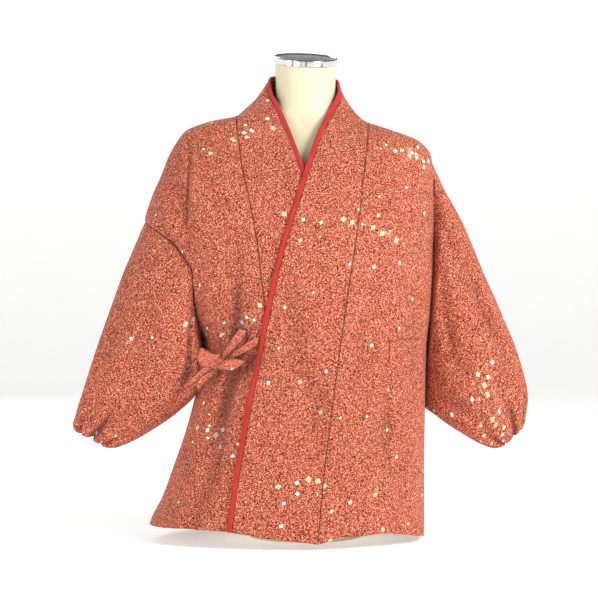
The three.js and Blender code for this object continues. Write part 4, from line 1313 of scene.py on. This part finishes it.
def solid(name, grid, uv=None):
    """Closed solid through rings, with a middle point at both ends."""
    rows, cols = grid.shape[:2]
    i, j = cells(rows - 1, cols)
    k = (j + 1) % cols
    faces = np.stack([i * cols + j, i * cols + k, (i + 1) * cols + k, (i + 1) * cols + j], 1)
    low, high, top = rows * cols, rows * cols + 1, (rows - 1) * cols
    ends = [[low, (n + 1) % cols, n] for n in range(cols)]
    ends += [[high, top + n, top + (n + 1) % cols] for n in range(cols)]
    points = np.concatenate([grid.reshape(-1, 3), [grid[0].mean(0)], [grid[-1].mean(0)]])
    mesh = bpy.data.meshes.new(name)
    mesh.from_pydata(in_metres(points), [], faces.tolist() + ends)
    mesh.update()
    obj = link_smooth(name, mesh, SOLID_SHARP)
    if uv is not None:
        first = i * (cols + 1) + j
        corners = np.stack([first, first + 1, first + cols + 2, first + cols + 1], 1)
        loops = np.zeros(len(mesh.loops), np.int32)
        mesh.loops.foreach_get("vertex_index", loops)
        flat = points[loops, :2] * MM
        flat[:corners.size] = uv.reshape(-1, 2)[corners.ravel()]
        layer = mesh.uv_layers.new(name="cloth")
        layer.data.foreach_set("uv", flat.ravel())
    return obj


# ---- dress form ----


def form_ring(z, grow=0.0):
    """Level outline of the form at a height, grown outwards."""
    a = 2 * math.pi * np.arange(FORM_COLUMNS) / FORM_COLUMNS
    right, left, front, back = (curve(FORM["z"], FORM[key], z) + grow
                                for key in ("right", "left", "front", "back"))
    rounding = 1 - 0.12 * smooth(30, 60, z) * (1 - smooth(600, 650, z))
    c = np.sign(np.cos(a)) * np.abs(np.cos(a)) ** rounding
    s = np.sign(np.sin(a)) * np.abs(np.sin(a)) ** rounding
    x = c * np.where(c < 0, right, left)
    y = (back - front) / 2 + s * (front + back) / 2
    return np.stack([x, y, np.full(FORM_COLUMNS, float(z))], axis=-1)


def leaning(ring, rise=0.0, share=1.0):
    """Tilts a ring of the neck's top forward and to the side."""
    out = ring.copy()
    out[:, 2] += share * (CAP_LEAN * (ring[:, 1] - NECK_Y) + CAP_SIDE * ring[:, 0]) + rise
    return out


def form_body():
    """Torso and neck on a narrow foot, closed by a leaning top."""
    levels = np.concatenate([[-5, -4.2, 36, 36.4, 38, 40], np.linspace(44, CHEST_TOP, 70),
                             np.linspace(563, NECK_STRAIGHT, 50)])
    rings = [form_ring(z) for z in levels]
    for z in np.linspace(684, 707.4, 10):
        share = (z - NECK_STRAIGHT) / (NECK_TOP - NECK_STRAIGHT)
        rings.append(leaning(form_ring(z), share=share))
    rings.append(leaning(form_ring(NECK_TOP, -0.5)))
    return solid("dress_form_shell", np.array(rings))


def cap():
    """Metal cap over the neck's top."""
    rings = [leaning(form_ring(NECK_TOP, grow), rise) for rise, grow in CAP]
    return solid("neck_cap_metal", np.array(rings))


# ---- materials ----

WEAVE = 9000           # radians of the crepe's threads to a metre
TWILL = 7000           # radians of the binding's twill to a metre
STITCH = 0.0032        # metres from one stitch to the next
STITCH_ROW = 0.0024    # metres from the binding's middle to its stitches
LONE_SPACING, GROUP_SPACING = 0.040, 0.0135    # metres between blossoms
LONE_RADIUS, GROUP_RADIUS = 0.0036, 0.0046


class Value:
    """A shader value that takes part in sums."""

    def __init__(self, shader, socket):
        self.shader = shader
        self.socket = socket

    def __add__(self, other):
        return self.shader.math("ADD", self, other)

    def __sub__(self, other):
        return self.shader.math("SUBTRACT", self, other)

    def __rsub__(self, other):
        return self.shader.math("SUBTRACT", other, self)

    def __mul__(self, other):
        return self.shader.math("MULTIPLY", self, other)

    def __truediv__(self, other):
        return self.shader.math("DIVIDE", self, other)

    def __lt__(self, other):
        return self.shader.math("LESS_THAN", self, other)

    def __gt__(self, other):
        return self.shader.math("GREATER_THAN", self, other)

    def __abs__(self):
        return self.shader.math("ABSOLUTE", self)

    __radd__ = __add__
    __rmul__ = __mul__


class Shader:
    """A material whose nodes are made one call at a time."""

    def __init__(self, name):
        self.material = bpy.data.materials.new(name)
        self.material.use_nodes = True
        self.tree = self.material.node_tree
        self.surface = self.tree.nodes["Principled BSDF"]

    def node(self, kind, settings=None, inputs=None, output=0):
        made = self.tree.nodes.new(kind)
        for key, value in (settings or {}).items():
            setattr(made, key, value)
        pairs = enumerate(inputs) if isinstance(inputs, list) else (inputs or {}).items()
        for key, value in pairs:
            if isinstance(value, Value):
                self.tree.links.new(value.socket, made.inputs[key])
            else:
                made.inputs[key].default_value = value
        return Value(self, made.outputs[output])

    def math(self, operation, *values):
        return self.node("ShaderNodeMath", {"operation": operation}, list(values))

    def mix(self, share, a, b):
        """Colour a, or b where the share is 1; both may be plain red, green, blue."""
        a, b = (v if isinstance(v, Value) else (*v, 1.0) for v in (a, b))
        return self.node("ShaderNodeMix", {"data_type": "RGBA"}, {0: share, 6: a, 7: b}, 2)

    def step(self, value, low, high):
        """Eased step from 0 at low to 1 at high; low may be the larger."""
        settings = {"interpolation_type": "SMOOTHSTEP"}
        return self.node("ShaderNodeMapRange", settings,
                         {"Value": value, "From Min": low, "From Max": high})

    def noise(self, where, scale, detail=2.0, rough=0.5, bend=0.0, flat=False):
        return self.node("ShaderNodeTexNoise", {"noise_dimensions": "2D" if flat else "3D"},
                         {"Vector": where, "Scale": scale, "Detail": detail,
                          "Roughness": rough, "Distortion": bend})

    def cloth_map(self):
        return self.node("ShaderNodeUVMap", {"uv_map": "cloth"})

    def space(self):
        return self.node("ShaderNodeTexCoord", output="Object")

    def field(self, name):
        return self.node("ShaderNodeAttribute", {"attribute_name": name}, None, "Fac")

    def axes(self, vector):
        """First two parts of a vector or colour."""
        first = self.node("ShaderNodeSeparateXYZ", None, [vector])
        node = first.socket.node
        return first, Value(self, node.outputs[1])

    def moved(self, vector, x, y):
        return self.node("ShaderNodeVectorMath", {"operation": "ADD"}, [vector, (x, y, 0.0)])

    def bump(self, strength, distance, relief):
        values = {"Strength": strength, "Distance": distance, "Height": relief}
        return self.node("ShaderNodeBump", None, values)

    def set(self, inputs):
        """Values or links of the surface's sockets; gives the material."""
        for name, value in inputs.items():
            socket = self.surface.inputs[name]
            if isinstance(value, Value):
                self.tree.links.new(value.socket, socket)
            else:
                socket.default_value = value
        return self.material


def tinted(value, *shares):
    """A colour with its red, green and blue taken by shares."""
    return [c * k for c, k in zip(value, shares)]


def blossoms(sh, where, spacing, radius, share):
    """Mask of scattered four-petalled blossoms, their chance of colour and hearts."""
    cell = {"voronoi_dimensions": "2D", "feature": "F1"}
    inputs = {"Vector": where, "Scale": 1 / spacing, "Randomness": 1.0}
    random = sh.node("ShaderNodeTexVoronoi", cell, inputs, "Color")
    centre = Value(sh, random.socket.node.outputs["Position"])
    r1, r2 = sh.axes(random)
    local = sh.node("ShaderNodeVectorMath", {"operation": "SUBTRACT"}, [where, centre])
    x, y = sh.axes(local)
    far = sh.math("SQRT", x * x + y * y)
    petals = sh.math("COSINE", sh.math("ARCTAN2", y, x) * 4 + r2 * 40)
    size = radius * (0.60 + 0.50 * r2)
    rim = size * (0.88 + 0.14 * petals)
    mask = sh.step(rim - far, 0.0, 0.0006) * (r1 < share)
    return mask, r2, sh.step(far, 0.0009, 0.0005)


def grain(sh, colours):
    """Red ground with dark flecks and pale curled strokes over it."""
    space = sh.space()
    broad = sh.noise(space, 11.0)
    strokes = sh.noise(space, 605.0, 0.5, 0.4, 0.8)
    patchy = sh.noise(sh.moved(space, 3.1, 1.7), 600.0, 1.0)
    dots = sh.noise(sh.moved(space, 7.3, 5.1), 620.0, 1.0, 0.5, 0.6)
    pale = sh.step(abs(strokes - 0.5), 0.074, 0.056) * sh.step(patchy, 0.40, 0.50)
    base = sh.mix(sh.step(broad, 0.35, 0.65), colours.ground,
                  tinted(colours.ground, 1.12, 1.35, 1.2))
    base = sh.mix(sh.step(dots, 0.475, 0.51), base, colours.fleck)
    stroke = sh.mix(sh.step(dots, 0.47, 0.40), colours.speckle, colours.tip)
    return sh.mix(pale, base, stroke), pale


def print_cloth(colours):
    """Red crepe printed with pale curled strokes, dark flecks and blossoms."""
    sh = Shader("print_cloth")
    where = sh.cloth_map()
    drift = sh.field("drift")
    base, pale = grain(sh, colours)
    # Painted light: the tapes are drawn paler than the rest of the print.
    base = sh.mix(sh.field("tape") * 0.30, base, colours.tape)
    lone, lone_tint, _ = blossoms(sh, where, LONE_SPACING, LONE_RADIUS, 0.30)
    group, group_tint, heart = blossoms(sh, sh.moved(where, 0.317, 0.211),
                                        GROUP_SPACING, GROUP_RADIUS, drift * 0.75)
    vine = sh.noise(sh.moved(where, 1.3, 9.2), 60.0, 0.0, 0.5, 0.4, flat=True)
    stem = sh.step(abs(vine - 0.5), 0.016, 0.006) * sh.step(drift, 0.25, 0.5)
    base = sh.mix(stem * 0.55, base, colours.blossom_shade)
    tint = sh.mix(sh.step(group_tint, 0.45, 0.75), colours.blossom, colours.blossom_shade)
    base = sh.mix(group, base, tint)
    base = sh.mix(group * heart * 0.6, base, colours.blossom_shade)
    tint = sh.mix(sh.step(lone_tint, 0.7, 0.9), colours.blossom, colours.blossom_shade)
    base = sh.mix(lone, base, tint)
    # Painted shade from the seam field, in the seam shadow colour.
    base = sh.mix(sh.field("seam") * 0.85, base, colours.crease)
    u, v = sh.axes(where)
    threads = sh.math("SINE", u * WEAVE) * sh.math("SINE", v * WEAVE)
    relief = threads * 0.35 + sh.noise(sh.space(), 900.0, 2.0, 0.6)
    return sh.set({
        "Base Color": base, "Roughness": 0.86 - 0.08 * pale,
        "Normal": sh.bump(0.35, 0.0004, relief), "Sheen Weight": 0.08,
        "Sheen Roughness": 0.5, "Specular IOR Level": 0.22})


def binding_cloth(colours):
    """Plain red cotton with a row of stitches beside each edge."""
    sh = Shader("binding_cloth")
    where = sh.cloth_map()
    u, v = sh.axes(where)
    thread = sh.noise(where, 1400.0, 2.0, 0.6, flat=True)
    broad = sh.noise(where, 60.0, flat=True)
    dash = sh.step(abs(sh.math("FRACT", v / STITCH) - 0.5), 0.36, 0.30)
    stitch = dash * sh.step(abs(abs(u) - STITCH_ROW), 0.0004, 0.0002)
    deep = tinted(colours.binding, 0.72, 0.72, 0.72)
    base = sh.mix(sh.step(broad, 0.3, 0.7) * 0.5 + thread * 0.2, colours.binding, deep)
    base = sh.mix(stitch * 0.6, base, deep)
    twill = sh.math("SINE", (u + v) * TWILL)
    relief = thread * 0.5 + twill * 0.25 - stitch * 0.8
    return sh.set({
        "Base Color": base, "Roughness": 0.74 + 0.1 * thread,
        "Normal": sh.bump(0.4, 0.0004, relief), "Sheen Weight": 0.15,
        "Specular IOR Level": 0.3})


def form_shell(colours):
    """Cream satin shell with a faint unevenness."""
    sh = Shader("form_shell")
    where = sh.space()
    broad = sh.noise(where, 9.0)
    fine = sh.noise(where, 420.0)
    base = sh.mix(sh.step(broad, 0.35, 0.7) * 0.6, colours.form,
                  tinted(colours.form, 0.96, 0.95, 0.9))
    return sh.set({
        "Base Color": base, "Roughness": 0.42 + 0.12 * broad,
        "Normal": sh.bump(0.08, 0.0005, fine + broad * 0.5),
        "Coat Weight": 0.15, "Coat Roughness": 0.35})


def cap_metal(colours):
    """Polished metal with a fine grain and a few dull patches."""
    sh = Shader("cap_metal")
    where = sh.space()
    dull = sh.noise(where, 60.0, 3.0)
    fine = sh.noise(where, 900.0, 1.0)
    base = sh.mix(sh.step(dull, 0.5, 0.75) * 0.25, colours.metal, (0.45, 0.46, 0.48))
    return sh.set({
        "Base Color": base, "Metallic": 1.0, "Roughness": 0.09 + 0.12 * dull,
        "Normal": sh.bump(0.05, 0.0003, fine + dull)})


MAKERS = {
    "print_cloth": print_cloth,
    "binding_cloth": binding_cloth,
    "form_shell": form_shell,
    "cap_metal": cap_metal,
}


def finish_piece(obj, slot, node):
    """Material, slot, body and the solid that a piece stands for."""
    material = bpy.data.materials.get(slot + "_made")
    if material is None:
        material = MAKERS[slot](bpy.context.scene.kimono_colours)
        material.name = slot + "_made"
    obj.data.materials.append(material)
    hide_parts(node)
    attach(obj, "root")
    return obj


# ---- operators ----


class KIMONO_OT_fronts(Operator):
    """Make the two front panels"""

    bl_idname = "kimono.fronts"
    bl_label = "Fronts"

    def execute(self, context):
        for side, shift in (("right", (-0.15, 0.0)), ("left", (0.15, 0.31))):
            front = finish_piece(front_panel(side, shift), "print_cloth", f"front_{side}")
        return {"FINISHED"}


class KIMONO_OT_back(Operator):
    """Make the back panel"""

    bl_idname = "kimono.back"
    bl_label = "Back"

    def execute(self, context):
        back = finish_piece(back_panel((0.7, 0.13)), "print_cloth", "back")
        return {"FINISHED"}


class KIMONO_OT_collars(Operator):
    """Make the collar bands and their bindings"""

    bl_idname = "kimono.collars"
    bl_label = "Collars and bindings"

    def execute(self, context):
        for side, shift in (("right", (0.02, 0.91)), ("left", (0.33, 1.17))):
            cloth, trim = collar(side, shift)
            finish_piece(cloth, "print_cloth", f"collar_{side}")
            finish_piece(trim, "binding_cloth", f"binding_{side}")
        return {"FINISHED"}


class KIMONO_OT_sleeves(Operator):
    """Make the two gathered sleeves"""

    bl_idname = "kimono.sleeves"
    bl_label = "Sleeves"

    def execute(self, context):
        for side, sections, creases, pleats, shift in (
                ("right", SLEEVE_RIGHT, CREASES_RIGHT, PLEATS_RIGHT, (-0.9, 0.4)),
                ("left", SLEEVE_LEFT, CREASES_LEFT, PLEATS_LEFT, (-1.6, 0.2))):
            made = sleeve(side, sections, creases, pleats, shift)
            finish_piece(made, "print_cloth", f"sleeve_{side}")
        return {"FINISHED"}


class KIMONO_OT_pocket(Operator):
    """Make the patch pocket"""

    bl_idname = "kimono.pocket"
    bl_label = "Pocket"

    def execute(self, context):
        pocket = finish_piece(pocket_panel((2.2, 0.4)), "print_cloth", "pocket")
        return {"FINISHED"}


class KIMONO_OT_bow(Operator):
    """Make the tie and its bow"""

    bl_idname = "kimono.bow"
    bl_label = "Tie and bow"

    def execute(self, context):
        strap = ribbon("tie_strap_cloth", STRAP, 2.2, 0.8, (3.0, 0.1), 0.25, -0.2)
        upper = ribbon("bow_loop_upper_cloth", LOOP_UPPER, 2.0, 0.9, (3.1, 0.1), 0.5, 0.55)
        leaf = ribbon("bow_leaf_cloth", LEAF, 2.2, 2.4, (3.2, 0.1), 0.4)
        outer = ribbon("bow_loop_outer_cloth", LOOP_OUTER, 2.0, 0.9, (3.3, 0.1))
        long_end = ribbon("bow_end_long_cloth", END_LONG, 2.4, 0.8, (3.4, 0.1), 0.9)
        short_end = ribbon("bow_end_short_cloth", END_SHORT, 2.2, 0.6, (3.5, 0.1), 0.5)
        lump = knot("bow_knot_cloth", [-126, -95, 261.5], [6.8, 7, 13], 0.63, (3.6, 0.1))
        made = {"tie_strap": strap, "bow_loop_upper": upper, "bow_leaf": leaf,
                "bow_loop_outer": outer, "bow_end_long": long_end,
                "bow_end_short": short_end, "bow_knot": lump}
        for node, obj in made.items():
            finish_piece(obj, "print_cloth", node)
        return {"FINISHED"}


class KIMONO_OT_form(Operator):
    """Make the dress form and its cap"""

    bl_idname = "kimono.form"
    bl_label = "Dress form"

    def execute(self, context):
        finish_piece(form_body(), "form_shell", "dress_form")
        finish_piece(cap(), "cap_metal", "neck_cap")
        return {"FINISHED"}


class KIMONO_OT_stage(Operator):
    """Make floor, backdrop, lights and camera"""

    bl_idname = "kimono.stage"
    bl_label = "Stage"

    def execute(self, context):
        stage = context.scene.kimono_stage
        camera = bpy.data.cameras.new("camera")
        camera.lens = stage.lens
        camera.clip_end = 100
        eye = bpy.data.objects.new("camera", camera)
        eye.location = (stage.aside, -stage.distance, stage.height)
        eye.rotation_euler = (math.pi / 2, 0, 0)
        context.scene.collection.objects.link(eye)
        context.scene.camera = eye
        make_floor(stage)
        make_light("key", (2.3, -2.0, 2.2), stage.key, 1.3, (0, 0, 0.35))
        make_light("fill", (-2.4, -2.2, 1.4), stage.fill, 2.2, (0, 0, 0.35))
        make_light("rim", (-1.2, 2.4, 2.3), stage.fill, 1.6, (0, 0, 0.4))
        make_flags()
        world = bpy.data.worlds.new("studio")
        world.use_nodes = True
        background = world.node_tree.nodes["Background"]
        background.inputs["Color"].default_value = (1.0, 1.0, 1.0, 1.0)
        background.inputs["Strength"].default_value = stage.sky
        context.scene.world = world
        context.scene.view_settings.view_transform = "Standard"
        return {"FINISHED"}


def make_floor(stage):
    """Round floor that rises in a curve to a low wall."""
    around = 96
    reach = stage.dish - stage.bend
    profile = [(r, 0.0) for r in (0.6, 1.6, 3.0, reach)]
    profile += [(reach + stage.bend * math.sin(a), stage.bend * (1 - math.cos(a)))
                for a in np.linspace(0, math.pi / 2, 17)[1:]]
    profile.append((stage.dish, stage.wall))
    turns = [2 * math.pi * k / around for k in range(around)]
    points = [(r * math.cos(a), r * math.sin(a), z) for r, z in profile for a in turns]
    faces = [(i * around + k, (i + 1) * around + k,
              (i + 1) * around + (k + 1) % around, i * around + (k + 1) % around)
             for i in range(len(profile) - 1) for k in range(around)]
    faces.append(tuple(range(around)))
    mesh = bpy.data.meshes.new("floor")
    mesh.from_pydata(points, [], faces)
    mesh.polygons.foreach_set("use_smooth", [True] * len(mesh.polygons))
    floor = bpy.data.objects.new("floor", mesh)
    bpy.context.scene.collection.objects.link(floor)
    sh = Shader("floor")
    speck = sh.noise(sh.space(), 3.0)
    base = sh.mix(speck * 0.1, stage.floor, tinted(stage.floor, 0.97, 0.97, 0.97))
    mesh.materials.append(sh.set({
        "Base Color": base, "Roughness": 0.9, "Emission Color": (*stage.floor, 1.0),
        "Emission Strength": stage.glow}))


def make_light(name, place, power, size, aim):
    data = bpy.data.lights.new(name, "AREA")
    data.energy = power
    data.size = size
    light = bpy.data.objects.new(name, data)
    light.location = place
    toward = np.array(aim) - np.array(place)
    flat = math.hypot(toward[0], toward[1])
    light.rotation_euler = (math.atan2(flat, -toward[2]), 0,
                            math.atan2(toward[1], toward[0]) - math.pi / 2)
    bpy.context.scene.collection.objects.link(light)


def make_flags():
    """Dark upright cards round the form that only polished metal reflects."""
    below, above = 0.5, 0.9
    places = [(-1.3, -1.2, 0.72, 0.34), (0.05, -1.9, 0.74, 0.16),
              (1.5, -0.9, 0.72, 0.30), (-0.5, -1.8, 0.73, 0.08)]
    material = Shader("flag").set({"Base Color": (0.02, 0.02, 0.02, 1.0), "Roughness": 0.9})
    for i, (x, y, z, wide) in enumerate(places):
        mesh = bpy.data.meshes.new(f"flag_{i}")
        dx, dy = np.array([-y, x]) / math.hypot(x, y) * wide / 2
        mesh.from_pydata([(x - dx, y - dy, z - below), (x + dx, y + dy, z - below),
                          (x + dx, y + dy, z + above), (x - dx, y - dy, z + above)],
                         [], [(0, 1, 2, 3)])
        mesh.materials.append(material)
        card = bpy.data.objects.new(f"flag_{i}", mesh)
        bpy.context.scene.collection.objects.link(card)
        card.visible_camera = False
        card.visible_diffuse = False
        card.visible_shadow = False


class KIMONO_PT_panel(Panel):
    """Settings and steps of the kimono top"""

    bl_label = "Kimono Top"
    bl_idname = "KIMONO_PT_panel"
    bl_space_type = "VIEW_3D"
    bl_region_type = "UI"
    bl_category = "Kimono Top"

    def draw(self, context):
        layout = self.layout
        for key in ("kimono_sizes", "kimono_colours", "kimono_stage"):
            group = getattr(context.scene, key)
            box = layout.box()
            for name in group.__annotations__:
                box.prop(group, name)
        for operator in OPERATORS:
            layout.operator(operator.bl_idname)


OPERATORS = (
    KIMONO_OT_stage, KIMONO_OT_form, KIMONO_OT_fronts, KIMONO_OT_back, KIMONO_OT_collars,
    KIMONO_OT_sleeves, KIMONO_OT_pocket, KIMONO_OT_bow,
)
CLASSES = (KimonoSizes, KimonoColours, KimonoStage, *OPERATORS, KIMONO_PT_panel)


def register():
    for cls in CLASSES:
        bpy.utils.register_class(cls)
    bpy.types.Scene.kimono_sizes = PointerProperty(type=KimonoSizes)
    bpy.types.Scene.kimono_colours = PointerProperty(type=KimonoColours)
    bpy.types.Scene.kimono_stage = PointerProperty(type=KimonoStage)


def unregister():
    for key in ("kimono_stage", "kimono_colours", "kimono_sizes"):
        delattr(bpy.types.Scene, key)
    for cls in reversed(CLASSES):
        bpy.utils.unregister_class(cls)


def main():
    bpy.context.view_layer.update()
    register()
    for operator in OPERATORS:
        group, name = operator.bl_idname.split(".")
        getattr(getattr(bpy.ops, group), name)()


if __name__ == "__main__":
    main()
